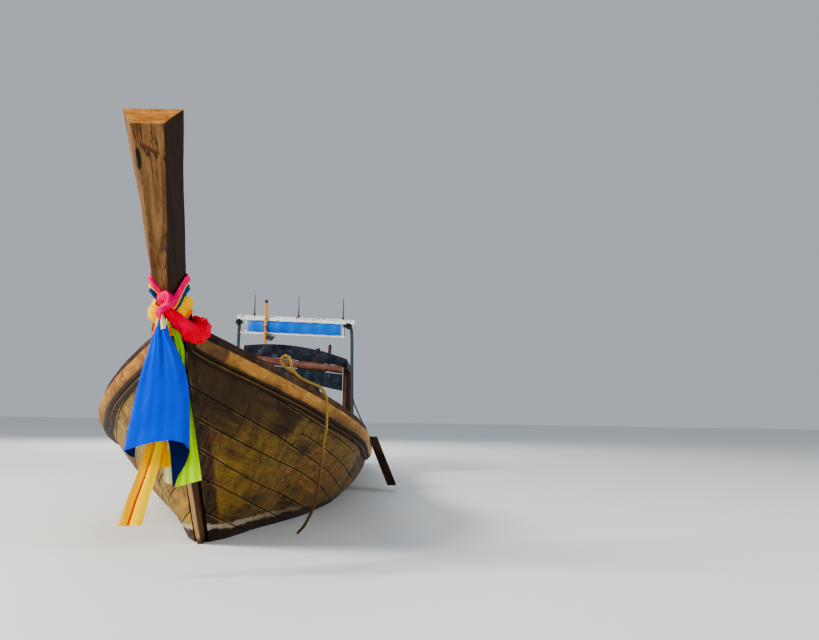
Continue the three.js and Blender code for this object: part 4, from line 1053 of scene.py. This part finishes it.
cloth_sheet("banner_vinyl", banner_place, sky_blue_vinyl, "banner",
            ["banner_panel"], 120, 14)
white_cord = painted_steel("white_cord", (0.74, 0.74, 0.70), chips=0.9, rough=0.7)
make_piece("banner_lashings", [
    pipe([np.array(tilted(GANTRY_X, banner_place(u, 0.94)[1], GANTRY_LOWER))
          + (math.cos(t) * 0.0135 * 1.1, 0.004 * math.sin(t / 2), math.sin(t) * 0.0135)
          for t in np.linspace(0, 2 * np.pi, 25)], 0.0016, 0.004, 8)
    for u in np.linspace(0.02, 0.98, 7)], white_cord, "frame_tube")

for y, name in ((-.559, "starboard"), (.035, "middle"), (.638, "port")):
    dress(f"rod_{name}", dark_iron, 0.0, "frame_tube")
    make_piece(f"rod_socket_{name}", [turned(tilted(GANTRY_X, y, 2.1462), tilted(GANTRY_X, y, 2.20), [
        (0, .015), (.004, .0155), (.020, .0145), (.026, .011), (.030, .0085)], 20)], dark_iron, "frame_tube")

orange_pole = painted_steel("orange_pole_paint", (0.78, 0.30, 0.020), (0.16, 0.06, 0.02), 0.57, 0.5, dirt=0.8)
POLE_X, POLE_Y, POLE_TOP = GANTRY_X + 0.0386, -0.400, 2.37
make_piece("flag_pole_bamboo", [turned((POLE_X, POLE_Y, 1.7805), (POLE_X, POLE_Y, POLE_TOP), [
    (0, .015), (.003, .0185), (.10, .0192), (.24, .0196), (.34, .0188), (.47, .0192), (.585, .0180), (.5885, .0150),
    (.589, .003)], 28)], orange_pole, "pole_paint", ["flag_pole"])
make_piece("flag_pole_cap", [turned((POLE_X, POLE_Y, 2.328), (POLE_X, POLE_Y, POLE_TOP), [
    (0, .0199), (.001, .0200), (.036, .0200), (.0418, .017), (.0419, .002)], 28)], dark_iron, "frame_tube")
clamps = []
for z in (1.9158, 2.1125):
    clamps.append(pipe([(POLE_X + math.cos(t) * 0.0215, POLE_Y + math.sin(t) * 0.0215, z)
                        for t in np.linspace(-2.75, 2.75, 24)], 0.0028, 0.006, 10))
    clamps.append(block((GANTRY_X - .016, -.418, z - .012), (GANTRY_X + 0.0200, -.382, z + .012), 0.002))
make_piece("flag_pole_clamps", clamps, dark_iron, "frame_tube")

black_lamp = painted_steel("black_lamp", (0.012, 0.013, 0.016), chips=0.72, rough=0.32, dirt=0.6)
LAMP = np.array((GANTRY_X + 0.0145, -0.329, 1.861))
make_piece("spotlight_housing", [turned(LAMP, LAMP + (0.1, 0, 0), [
    (0, .009), (.001, .020), (.006, .027), (.022, .037), (.050, .0445), (.086, .0470), (.088, .0445), (.093, .0445),
    (.0935, .0477), (.104, .0478), (.1052, .0465), (.1052, .0425), (.0960, .0415), (.0940, .002)], 40)],
    black_lamp, "black_case", ["spotlight"])
glass = Finish("lamp_glass", 0.08, Coat_Weight=0.6)
ribs = glass.wave(glass.place(), 30.0, "Y")
lamp_glass = glass.look(ribs.stops((0.2, (0.010, 0.011, 0.013)), (0.8, (0.045, 0.050, 0.055))), ribs, 0.002)
make_piece("spotlight_glass", [turned(LAMP + (.0945, 0, 0), LAMP + (.12, 0, 0), [
    (0, .0412), (.003, .0405), (.0065, .030), (.0085, .016), (.0092, .002)], 40)], lamp_glass, "frame_tube")
make_piece("spotlight_yoke", [
    pipe([LAMP + step for step in (
        (.050, .0480, -.002), (.040, .056, .008), (.012, .051, .036), (-.001, .022, .0455), (-.001, -.018, .0455),
        (.010, -.0455, .034), (.040, -.0485, .008), (.050, -.0478, -.002))], 0.0035, 0.008, 12),
    turned(LAMP + (.05, .046, 0), LAMP + (.05, .062, 0), [(0, .004), (.006, .008), (.014, .008), (.016, .004)], 16)],
    dark_iron, "frame_tube")

rubber = Finish("black_rubber", 0.62)
dust = rubber.noise(rubber.place(), 22.0, 4.0)
black_rubber = rubber.look(dust.stops((0.35, (0.008, 0.008, 0.009)), (0.68, (0.045, 0.043, 0.040))), dust, 0.0008)
CABLE_RADIUS, CABLE_TURNS = 0.0052, 5.4
for side, y, z, sign in (("port", 0.712, 2.032, 1), ("starboard", -0.752, 2.062, -1)):
    coil = [np.array((GANTRY_X + 0.0300 + 0.0125 * t / 6.28,
                      y + (0.034 + 0.011 * math.sin(0.41 * t + sign)) * math.cos(t),
                      z + (0.027 + 0.009 * math.cos(0.57 * t)) * math.sin(t)))
            for t in np.linspace(0, 2 * np.pi * CABLE_TURNS, 200)]
    coil += [coil[-1] + step for step in (
        (0.003, -sign * 0.012, -0.030), (-0.010, -sign * 0.020, -0.080), (-0.030, -sign * 0.018, -0.150))]
    line, run = eased(coil, 0.004)
    cable = make_piece(f"lamp_cable_{side}", [pipe(coil, CABLE_RADIUS, 0.004, 12)], black_rubber, "frame_tube")
    tuple(line[0])
    [tuple(p) for p in line]


# Canopy: dark tarpaulin over four bent bows on two side rails and six posts, laced at the eaves and sagging a little
# between the bows, with the whole roof leaning down to port. A piece hangs from the front edge behind the banner.
# It is stained at the front, carries a painted pale-blue reflection at its front starboard part, and is frayed along
# its port edge.
CANOPY_FRONT, CANOPY_REAR, CANOPY_HALF = -1.430, -3.790, 0.700
BOWS = (-1.490, -2.240, -3.010, -3.730)

tarp = Finish("navy_tarpaulin", 0.55)
place = tarp.place()
x, y, _ = tarp.axes(place)
weave = tarp.wave(tarp.kept(), 120.0, "X") * tarp.wave(tarp.kept(), 120.0, "Y")
crease = tarp.noise(place, 7.0, 5.0, 0.65, 1.2)
# Painted reflection: pale blue patches on the front starboard part of the roof.
painted_reflection = tarp.noise(place, 5.5, 5.0, 0.6, 0.8, (0.6, 1.0, 1.6)).share(0.54, 0.62)
painted_reflection = painted_reflection * x.share(-1.9, -1.45) * y.share(0.45, 0.15)
rusty = tarp.noise(place, 9.0, 5.0, 0.6, 0.5).share(0.56, 0.66) * x.share(-2.2, -1.42)
navy_tarpaulin = tarp.look(tarp.coats(
    (0.003, 0.004, 0.010), (crease.share(0.35, 0.68), (0.012, 0.018, 0.045)),
    (painted_reflection * 0.28, (0.12, 0.18, 0.28)), (rusty * 0.55, (0.10, 0.034, 0.014))), crease + weave * 0.05, 0.012)


def roof_height(y):
    return 1.764 - 0.1164 * y - 0.1765 * y * y


def roof_place(u, v):
    x = CANOPY_FRONT + (CANOPY_REAR - CANOPY_FRONT) * v
    x = min(CANOPY_FRONT - 0.0005, max(CANOPY_REAR + 0.0005, x))
    gap = min(abs(x - bow) for bow in BOWS)
    span = [b - a for a, b in zip(BOWS[1:], BOWS) if a <= x <= b]
    sag = 0.024 * eased_step(gap / (span[0] / 2 if span else 0.5))
    girth, arch = -1 + 2 * u, 0.86
    if abs(girth) <= arch:
        across = girth / arch
        y = across * CANOPY_HALF
        z = roof_height(y) - sag * (1 - abs(across) ** 3)
        z -= 0.0025 * (1 + math.sin(19 * across + 9 * x) * math.sin(5 * x)) * (1 - across ** 2)
    else:
        down = (abs(girth) - arch) / (1 - arch)
        frayed = 0.012 * abs(math.sin(17 * x) * math.sin(41 * x)) if girth > 0 else 0.005 * abs(math.sin(13 * x))
        z = roof_height(math.copysign(CANOPY_HALF, girth)) - down * (0.119 - frayed)
        flare = 0.004 * down - 0.010 * down * (0.5 + 0.5 * math.sin(11 * x + 2 * girth))
        y = math.copysign(CANOPY_HALF + flare, girth)
    return x, y, z


cloth_sheet("canopy_tarpaulin", roof_place, navy_tarpaulin, "canopy_cloth",
            ["canopy_roof"], 120, 110)
lacing = Finish("grey_lacing", 0.7)
twist = lacing.wave(lacing.kept(), 60.0, "DIAGONAL")
grey_lacing = lacing.look(twist.stops((0.2, (0.13, 0.11, 0.09)), (0.8, (0.36, 0.33, 0.27))), twist, 0.001)
LASHING = ((0, .7038, -.064), (.004, .7045, -.088), (.006, .690, -.094), (.004, .662, -.075), (0, .652, -.044),
           (-.004, .660, -.0195), (-.006, .688, -.0200))  # one loop: x, y and z from the eave
make_piece("eave_lashings", [
    pipe([(x + dx, sign * y, roof_height(sign * CANOPY_HALF) + dz) for dx, y, dz in LASHING], 0.0025, 0.01, 8)
    for _, sign in SIDES for x in np.arange(CANOPY_REAR + 0.12, CANOPY_FRONT - 0.05, 0.23)],
    grey_lacing, "canopy_cloth")

canopy_wood = plain_timber("canopy_wood", (0.26, 0.13, 0.055), (0.13, 0.055, 0.022), (0.045, 0.018, 0.008),
                           1.0, 0.5, 0.6, 0.0012, 0.3, "XYZ")
post_wood = plain_timber("post_wood", (0.20, 0.090, 0.040), (0.10, 0.042, 0.018), (0.036, 0.014, 0.006),
                         1.2, 0.5, 0.6, 0.0012, 0.3, "ZXY")
dress("canopy_frame", canopy_wood, 0.003, "brown_wood")
for row in ("front", "middle", "rear"):
    for side, _ in SIDES:
        dress(f"canopy_post_{row}_{side}", post_wood, 0.004, "brown_wood")


# Front curtain: pinkish-brown tarpaulin rolled up and tied under the front bow, with a thin dark curtain under it.
# A valance of the canopy's tarpaulin hides the gap between the roof and the roll.
ROLL_X, ROLL_HALF, ROLL_TIES = -1.422, 0.6445, (-0.46, 0.0, 0.46)

faded = Finish("faded_pink_tarpaulin", 0.6)
crease = faded.noise(faded.kept(), 9.0, 5.0, 0.6, 0.8, (0.5, 3.0, 1.0))
seam_line = abs(faded.axes(faded.kept())[0] - 0.705).share(0.006, 0.003)
roll_cloth = faded.look(faded.coats(
    (0.075, 0.028, 0.022), (crease.share(0.35, 0.65), (0.24, 0.105, 0.080)),
    (seam_line, (0.035, 0.025, 0.040))), crease - seam_line, 0.004)


def roll_height(y):
    return 1.515 - 0.105 * y


def roll_place(u, v):
    y = -ROLL_HALF + 2 * ROLL_HALF * u
    turn = 2 * math.pi * 4.3 * v
    pinch = min(abs(y - at) for at in ROLL_TIES)
    radius = (0.014 + 0.0415 * v) * (1 - 0.10 * max(0.0, 1 - pinch / 0.07)) + 0.0012 * math.sin(31 * y + 2 * turn)
    angle = turn + 0.6 + 0.15 * math.sin(5 * y)
    return ROLL_X + radius * math.cos(angle), y, roll_height(y) + radius * math.sin(angle)


cloth_sheet("rolled_curtain", roll_place, roll_cloth, "roll_cloth",
            ["curtain_roll"], 90, 140)
ties = []
for y in ROLL_TIES:
    z = roll_height(y)
    ties.append(pipe([(ROLL_X + 0.0545 * math.cos(t), y + 0.004 * math.sin(t), z + 0.0545 * math.sin(t))
                      for t in np.linspace(0, 2 * np.pi, 34)], 0.0025, 0.008, 8))
    ties.append(pipe([(-1.3700, y, z + .020), (-1.3705, y + .008, z - .04), (-1.372, y - .004, z - .12)],
                     0.0022, 0.01, 8))
for y, drop in ((0.33, 0.075), (0.47, 0.110), (0.60, 0.09)):
    hem = 1.297 - 0.2 * y
    ties.append(pipe([(-1.4175, y, hem + .05), (-1.4170, y + .003, hem), (-1.418, y + .012, hem - drop * 0.6),
                      (-1.419, y + .002, hem - drop)], 0.0020, 0.01, 8))
make_piece("curtain_ties", ties, grey_lacing, "roll_cloth")

thin = Finish("dark_curtain_cloth", 0.40, Sheen_Weight=0.2)
crease = thin.noise(thin.kept(), 5.0, 5.0, 0.6, 1.0, (3.0, 1.2, 1.0))
# Painted sheen: the crease crowns turn a lighter greenish blue on the near-black navy cloth.
dark_curtain = thin.look(crease.stops(
    (0.34, (0.003, 0.005, 0.010)), (0.56, (0.008, 0.018, 0.034)), (0.74, (0.020, 0.060, 0.075))), crease, 0.010)


def curtain_place(u, v):
    y = -ROLL_HALF + 2 * ROLL_HALF * u
    top, hem = roll_height(y) - 0.0590, 1.2965 - 0.2 * y + 0.004 * math.sin(9 * y)
    fold = 0.0034 * ripple(11 * u + 0.3 * math.sin(4 * u)) * (0.4 + 0.6 * v)
    return ROLL_X + fold, y, top + (hem - top) * v


def valance_place(u, v):
    y = -0.6995 + 1.399 * u
    top, low = roof_height(y) - 0.0008, roll_height(y) + 0.0588
    fold = 0.0055 * ripple(5 * u + 0.35 * v) + 0.0030 * ripple(13 * u - 0.5 * v)
    return -1.4272 + (fold + 0.0085) * math.sin(math.pi * min(1.0, 0.06 + v)) ** 0.8, y, top + (low - top) * v


cloth_sheet("front_curtain_cloth", curtain_place, dark_curtain, "canopy_cloth",
            ["front_curtain"], 140, 24)
cloth_sheet("front_valance", valance_place, navy_tarpaulin, "canopy_cloth",
            ["canopy_valance"], 120, 26)


# Decks, benches and transom: sawn hardwood boards 24 to 35 mm thick, nailed down with small gaps between them.
deck_wood = plain_timber("deck_wood", (0.42, 0.27, 0.13), (0.25, 0.14, 0.058), (0.095, 0.045, 0.018),
                         1.0, 0.7, 0.64, 0.0014, 0.35)
bench_wood = plain_timber("bench_wood", (0.36, 0.19, 0.075), (0.21, 0.098, 0.036), (0.080, 0.034, 0.012),
                          1.1, 0.5, 0.55, 0.0010, 0.3)
transom_wood = plain_timber("transom_wood", (0.22, 0.135, 0.040), (0.12, 0.066, 0.018), (0.045, 0.020, 0.007),
                            1.0, 0.6, 0.62, 0.0014, 0.5)


def outline_of(name, axis=0, digits=4, near=1e-3):
    """A solid's places along an axis and half widths there, with its least and greatest x, y and z."""
    node = bpy.data.objects[name]
    spots = np.array([tuple(node.matrix_world @ v.co) for v in node.data.vertices])
    places = np.unique(np.round(spots[:, axis], digits))
    halves = [np.abs(spots[np.abs(spots[:, axis] - at) < near][:, 1]).max() for at in places]
    return places, np.array(halves), spots.min(axis=0), spots.max(axis=0)


def boards(name, parts, finish, slot, node):
    """Boards in place of one solid, each in its own tone."""
    tones = []
    for points, _, _ in parts:
        tones += [random.uniform()] * len(points)
    make_piece(name, parts, finish, slot, [node], tone=tones)


def deck(name, node, wide, gap=0.003):
    """Fore-and-aft boards cut to the outline of a flat solid."""
    places, halves, (_, _, low), (_, _, top) = outline_of(node)
    lanes, half_deck = round(2 * halves.max() / wide), halves.max()
    wide = 2 * half_deck / lanes
    parts = []
    for k in range(lanes):
        y0, y1 = -half_deck + k * wide + gap / 2, -half_deck + (k + 1) * wide - gap / 2
        rise = random.uniform(-0.0008, 0.0)
        rows = [(x, max(y0, -half), min(y1, half)) for x, half in (
            (x, float(np.interp(x, places, halves))) for x in np.linspace(places[0], places[-1], 60))]
        rows = [row for row in rows if row[2] - row[1] > 0.012]
        if len(rows) < 2:
            continue
        rings = []
        for j, (x, a, b) in enumerate(rows):
            edge = 0.0 if j in (0, len(rows) - 1) else min(0.0025, (b - a) / 3, (top + rise - low) / 3)
            rings.append([(x, *corner) for corner in chamfered((a, low), (b, top + rise), edge)])
        parts.append(skinned(rings, lambda points: points + (k, 0, 0)))
    boards(name, parts, deck_wood, "brown_wood", node)


deck("floor_planks", "floor_boards", 0.145, 0.006)
deck("foredeck_planks", "foredeck", 0.150)
deck("aft_deck_planks", "aft_deck", 0.150)
for number in range(1, 7):
    places, halves, (_, _, low), (_, _, top) = outline_of(f"thwart_{number}")
    edges = np.linspace(places[0], places[-1], 4 if places[-1] - places[0] > 0.3 else 3)
    parts = []
    for k, (x0, x1) in enumerate(zip(edges, edges[1:])):
        half = min(float(np.interp(x, places, halves)) for x in (x0, x1))
        parts.append(block((x0 + .0015, -half, low), (x1 - .0015, half, top), 0.004, across=True,
                           offset=(3.0 * k + number, 0, 0)))
    boards(f"bench_boards_{number}", parts, bench_wood, "brown_wood", f"thwart_{number}")

heights, halves, (aft, _, _), (fore, _, _) = outline_of("transom", 2, 3, 2e-3)
parts, edges = [], np.linspace(heights[0], 0.796, 6)
for k, (z0, z1) in enumerate(zip(edges, edges[1:])):
    rings = []
    for z in np.linspace(z0 + .0012, z1 - .0012, 9):
        half = max(0.02, float(np.interp(z, heights, halves)))
        ease = 0.0025 if z in (z0 + .0012, z1 - .0012) else 0.0
        rings.append([(x, y, z) for x, y in (
            (aft + ease, -half), (fore - ease, -half), (fore - ease, half), (aft + ease, half))])
    parts.append(skinned(rings, lambda points: points[:, (1, 2, 0)] + (2 * k, 0, 0)))
boards("transom_boards", parts, transom_wood, "hull_wood", "transom")


# Frames, floor timbers, keel, mooring bitt, engine beam and side ladder: solid timber with eased edges.
# It is unpainted and oiled dark, and the grain runs along each piece: up the ribs, fore and aft in the keel.
rib_wood = plain_timber("rib_wood", (0.27, 0.150, 0.062), (0.145, 0.072, 0.027), (0.052, 0.023, 0.009),
                        1.0, 0.5, 0.66, 0.0012, 0.4, "ZXY")
long_wood = plain_timber("long_wood", (0.20, 0.110, 0.048), (0.105, 0.053, 0.022), (0.036, 0.016, 0.007),
                         1.0, 0.8, 0.66, 0.0016, 0.5, "XYZ")
cross_wood = plain_timber("cross_wood", (0.22, 0.120, 0.050), (0.120, 0.058, 0.024), (0.042, 0.018, 0.008),
                          1.0, 0.6, 0.64, 0.0014, 0.4, "YXZ")
ladder_wood = plain_timber("ladder_wood", (0.070, 0.032, 0.018), (0.030, 0.013, 0.008), (0.010, 0.005, 0.003),
                           1.2, 0.9, 0.70, 0.0022, 0.5, "ZXY")
for name, finish, bevel, slot in (
        ("frames_port", rib_wood, 0.004, "brown_wood"), ("frames_starboard", rib_wood, 0.004, "brown_wood"),
        ("floor_timbers", cross_wood, 0.004, "brown_wood"), ("keel", long_wood, 0.005, "dark_wood"),
        ("mooring_bitt", rib_wood, 0.004, "brown_wood"), ("engine_beam", cross_wood, 0.006, "dark_wood"),
        ("side_ladder", ladder_wood, 0.006, "dark_wood")):
    dress(name, finish, bevel, slot)


# Engine: a second-hand truck diesel on a steel cradle, balanced on the swivel, with its propeller shaft running aft.
# The cradle is brushed blue, the castings grey and oily, the radiator black, the pipes rusty.
SLOPE, PIN = math.radians(17), (-5.150, 0.0, 1.200)
UP, BOTH = (0, 0, 1), (-1, 1)


def on_shaft(x, y, z):
    """A place given along the shaft line, as a place on the boat."""
    return (PIN[0] + x * math.cos(SLOPE) - z * math.sin(SLOPE), y,
            PIN[2] + x * math.sin(SLOPE) + z * math.cos(SLOPE))


def round_about(count):
    """Angles spread evenly round a full turn."""
    return np.linspace(0, 2 * np.pi, count, endpoint=False)


def bolts(places, way, radius=0.008, high=0.007):
    """Hexagon heads on washers at places, standing out along a way."""
    made, way = [], np.array(way, float)
    for place in np.array(places, float):
        made.append(turned(place - 0.002 * way, place + 0.02 * way, [(0, radius * 1.3), (.0035, radius * 1.3)], 16))
        made.append(turned(place, place + 0.02 * way,
                           [(0, radius), (.001 + high * .8, radius), (.001 + high, radius * .82)], 6))
    return made


def along(axis, start, length, profile, sides=32):
    """A turned shape from a place along one axis of the engine."""
    start = np.array(start, float)
    return turned(start, start + np.eye(3)[axis] * length, profile, sides)


def engine_piece(name, parts, finish, slot, body="engine", angle=34, nodes=()):
    """Shapes given along the shaft line, as one piece in its place."""
    placed = [(np.array([on_shaft(*p) for p in points]), faces, grain) for points, faces, grain in parts]
    make_piece(name, placed, finish, slot, nodes, body, angle)


cast_iron = painted_steel("cast_iron", (0.055, 0.066, 0.064), (0.060, 0.022, 0.010), 0.60, 0.46, 0.25, 0.8, 9.0)
cradle_blue = painted_steel("cradle_blue", (.018, .062, .150), (.10, .030, .012), 0.57, 0.42, 0.0, 0.6, 11.0)
bare_steel = painted_steel("bare_steel", (.200, .205, .210), (.085, .036, .018), 0.62, 0.34, 0.85, 0.5, 18.0)
rusty_pipe = painted_steel("rusty_pipe", (.115, .050, .028), (.050, .016, .008), 0.50, 0.74, 0.2, 0.5, 24.0)
black_paint = painted_steel("black_paint", (.012, .013, .014), (.07, .025, .012), 0.64, 0.40, 0.0, 0.8, 12.0)
for name, finish, bevel, slot in (
        ("engine_cradle", cradle_blue, 0.003, "frame_tube"), ("engine_block", cast_iron, 0.008, "engine_grey"),
        ("bell_housing", cast_iron, 0.006, "engine_grey"), ("radiator", black_paint, 0.006, "radiator_black"),
        ("exhaust_pipe", rusty_pipe, 0.0, "rusty_pipe"), ("air_filter", black_paint, 0.008, "black_case"),
        ("tiller", bare_steel, 0.0, "steel"), ("shaft_tube", bare_steel, 0.0, "steel"),
        ("turret", bare_steel, 0.002, "steel")):
    dress(name, finish, bevel, slot)

engine_piece("cylinder_head_and_flanges", [
    block((.1545, -.1555, .3140), (.8655, .1555, .3280)), block((.1740, -.1160, .4420), (.8460, .1160, .4560)),
    block((.548, -.082, .4600), (.836, .082, .5060), 0.014), block((.1560, -.1530, .0560), (.8640, .1530, .0700)),
    *(block((.175, side * .1495, z), (.845, side * .1560, z + .012))
      for z in (.115, .170, .225, .280) for side in BOTH)], cast_iron, "engine_grey")
engine_piece("engine_bolts", [
    *bolts([(x, side * .133, .328) for x in np.arange(.19, .85, .0905) for side in BOTH], UP),
    *bolts([(x, side * .100, .456) for x in np.arange(.20, .84, .124) for side in BOTH], UP, 0.006),
    *bolts([(x, 0, .506) for x in (.60, .69, .78)], UP, 0.009, 0.012),
    *bolts([(.1500, .112 * math.cos(t), .120 + .112 * math.sin(t)) for t in round_about(10)], (-1, 0, 0)),
    *bolts([(x, side * .092, .0620) for x in (.215, .245, .755, .785) for side in BOTH], UP, 0.007)],
    bare_steel, "steel")

INJECTORS = (.46, .50, .54, .58)
engine_piece("injection_pump_and_oil_filter", [
    block((.350, -.2150, .130), (.620, -.1500, .225), 0.010),
    along(0, (.345, -.182, .178), -.06, [(0, .034), (.050, .034), (.056, .026)], 28),
    along(2, (.425, -.178, .225), .037, [(0, .016), (.010, .016), (.012, .010), (.030, .010)], 16),
    *(along(2, (x, -.178, .224), .046, [(0, .011), (.012, .011), (.014, .008), (.026, .008)], 12) for x in INJECTORS),
    along(1, (.690, -.150, .200), -.1, [(0, .046), (.004, .050), (.090, .050), (.098, .044)])],
    black_paint, "engine_grey")
engine_piece("injector_lines", [
    pipe([(x, -.178, .250), (x + .004, -.181, .300), (x - .02 + .10 * k, -.178, .360), (.23 + .165 * k, -.150, .400),
          (.23 + .165 * k, -.112, .410)], 0.0034, 0.01, 8) for k, x in enumerate(INJECTORS)],
    bare_steel, "steel", angle=60)
engine_piece("exhaust_manifold", [
    pipe([(.215, .178, .262), (.785, .178, .262)], 0.027, 0.1, 24),
    *(along(1, (x, .1500, .262), .04, [(0, .034), (.008, .034), (.009, .024), (.035, .024)], 20)
      for x in (.24, .42, .60, .78)),
    turned((.500, .186, .260), (.500, .212, .262), [(0, .040), (.010, .040), (.011, .030), (.024, .030)], 24)],
    rusty_pipe, "rusty_pipe")


def pulley(y, z, rows, sides):
    """A grooved wheel: radius at its hub, edge, lip and groove, and again to the front."""
    places = (0, .002, .005, .010, .017, .021, .024, .0255)
    return along(0, (.8605, y, z), .0265, list(zip(places, rows)), sides)


engine_piece("pulleys_and_alternator", [
    pulley(0, .120, (.030, .074, .078, .068, .068, .078, .074, .030), 48),
    pulley(0, .330, (.020, .048, .052, .043, .043, .052, .048, .014), 40),
    pulley(.168, .372, (.014, .034, .037, .029, .029, .037, .033, .010), 32),
    along(0, (.8600, .168, .372), -.125, [(0, .050), (.006, .056), (.040, .056), (.042, .053), (.085, .053),
                                          (.087, .056), (.112, .056), (.120, .046)], 40),
    block((.770, .095, .340), (.830, .130, .372), 0.004)], bare_steel, "steel")
WHEELS = ((0.0, .120, .0705), (.168, .372, .0315), (0.0, .330, .0455))  # y, z and the belt's reach
belt_line = []
for k, (y, z, reach) in enumerate(WHEELS):
    turns = []
    for (other_y, other_z, other), flip in ((WHEELS[k - 1], 1), (WHEELS[(k + 1) % 3], -1)):
        far = math.hypot(other_y - y, other_z - z)
        turns.append(math.atan2(other_z - z, other_y - y) + flip * math.acos((reach - other) / far))
    start, end = turns
    while end < start:
        end += 2 * math.pi
    belt_line += [(.8738, y + reach * math.cos(t), z + reach * math.sin(t)) for t in np.linspace(start, end, 14)]
engine_piece("fan_belt", [pipe([*belt_line, belt_line[0]], 0.0052, 0.01, 10)], black_rubber, "black_case",
             angle=60)

core = Finish("radiator_core", 0.45, 0.6)
rows = core.wave(core.kept(), 28.0, "Z")
core_color = (rows * core.wave(core.kept(), 8.0, "Y").share(0.2, 0.5)).stops(
    (0.15, (0.006, 0.006, 0.006)), (0.75, (0.10, 0.085, 0.060)))
engine_piece("radiator_core", [block((.9560, -.180, .060), (.9625, .180, .380), 0.002)],
             core.look(core_color, rows, 0.002), "radiator_black")
engine_piece("radiator_frame", [
    block((.884, -.214, .378), (.9660, .214, .4440), 0.010),
    block((.884, -.214, .0112), (.9660, .214, .060), 0.010),
    block((.884, -.2160, .050), (.9665, -.1820, .390), 0.006),
    block((.884, .1820, .050), (.9665, .2160, .390), 0.006)],
    black_paint, "radiator_black")
engine_piece("radiator_filler_cap", [along(2, (.925, -.105, .440), .038, [
    (0, .030), (.014, .030), (.015, .024), (.018, .024), (.019, .034), (.030, .034), (.033, .028)])],
    bare_steel, "steel")
engine_piece("radiator_hoses", [pipe(line, 0.021, 0.012, 20) for line in (
    [(.915, .120, .440), (.912, .118, .476), (.885, .105, .505), (.850, .085, .510), (.826, .062, .500)],
    [(.886, -.150, .040), (.862, -.170, .042), (.838, -.172, .075), (.826, -.160, .105), (.822, -.146, .115)])],
    black_rubber, "black_case", angle=60)
engine_piece("air_filter_lid", [
    pipe([(.420, -.030, .470), (.420, -.030, .500)], 0.06, 0.05, 28),
    along(2, (.420, -.030, .5604), .0296, [(0, .108), (.004, .104), (.006, .030), (.014, .028), (.0150, .010)], 40)],
    bare_steel, "steel")
engine_piece("tiller_grip", [
    pipe([(1.204, .0795, .0612), (1.270, .070, .0752), (1.336, .0606, .0892)], 0.0215, 0.01, 24)],
    black_rubber, "black_case", angle=50)
COLLARS = (-.060, -1.70, -3.326)
engine_piece("shaft_collars", [
    *(along(0, (x, 0, .120), .06, [(0, .027), (.002, .034), (.034, .034), (.036, .027)]) for x in COLLARS),
    *bolts([(x + .018, 0, .154) for x in COLLARS], UP, 0.006)], bare_steel, "steel")
make_piece("swivel_bolts", bolts([
    (PIN[0] + .066 * math.cos(t), .066 * math.sin(t), 0.6405) for t in round_about(6)], UP),
    bare_steel, "steel", body="turret")
make_piece("tilt_pin_nuts", [turned((PIN[0], side * .158, PIN[2]), (PIN[0], side * .18, PIN[2]), [
    (0, .026), (.003, .026), (.004, .020), (.013, .020), (.015, .015)], 6) for side in BOTH],
    bare_steel, "steel", body="engine")


# Propeller: a small two-bladed bronze casting on a tapered hub, pinned to the end of the shaft.
# Its blades are twisted, hollow on their driving face and thin at the tips.
bronze = painted_steel("bronze", (0.36, 0.205, 0.060), (0.030, 0.090, 0.060), 0.62, 0.30, 0.9, 0.6, 22.0)
screw = [along(0, (-3.3306, 0, .120), -.1, [(0, .0315), (.004, .0320), (.030, .0312), (.070, .0265), (.088, .0215),
                                            (.0955, .0160), (.0975, .004)], 40)]
for flip in (0, math.pi):
    rings = []
    for share in np.linspace(0, 1, 18):
        out, twist, thick = .022 + .1195 * share, math.radians(62 - 34 * share), .0052 * (1 - 0.72 * share)
        tip = 1.0 if share < .7 else max(0.05, math.cos((share - .7) * 5.0))
        chord = .030 + .030 * math.sin(math.pi * min(1.0, share * 0.85 + 0.12)) * tip
        ring = []
        for t in round_about(22):
            wide = chord * math.cos(t)
            over = thick * math.sin(t) * (1 + 0.25 * math.cos(t)) + .10 * wide ** 2
            x = wide * math.sin(twist) * 0.8 + over * math.cos(twist)
            y = wide * math.cos(twist) - over * math.sin(twist)
            ring.append((-3.380 + x, y * math.cos(flip) - out * math.sin(flip),
                         .120 + y * math.sin(flip) + out * math.cos(flip)))
        rings.append(ring)
    screw.append(skinned(rings))
engine_piece("bronze_propeller", screw, bronze, "bronze", "propeller", nodes=["propeller"])
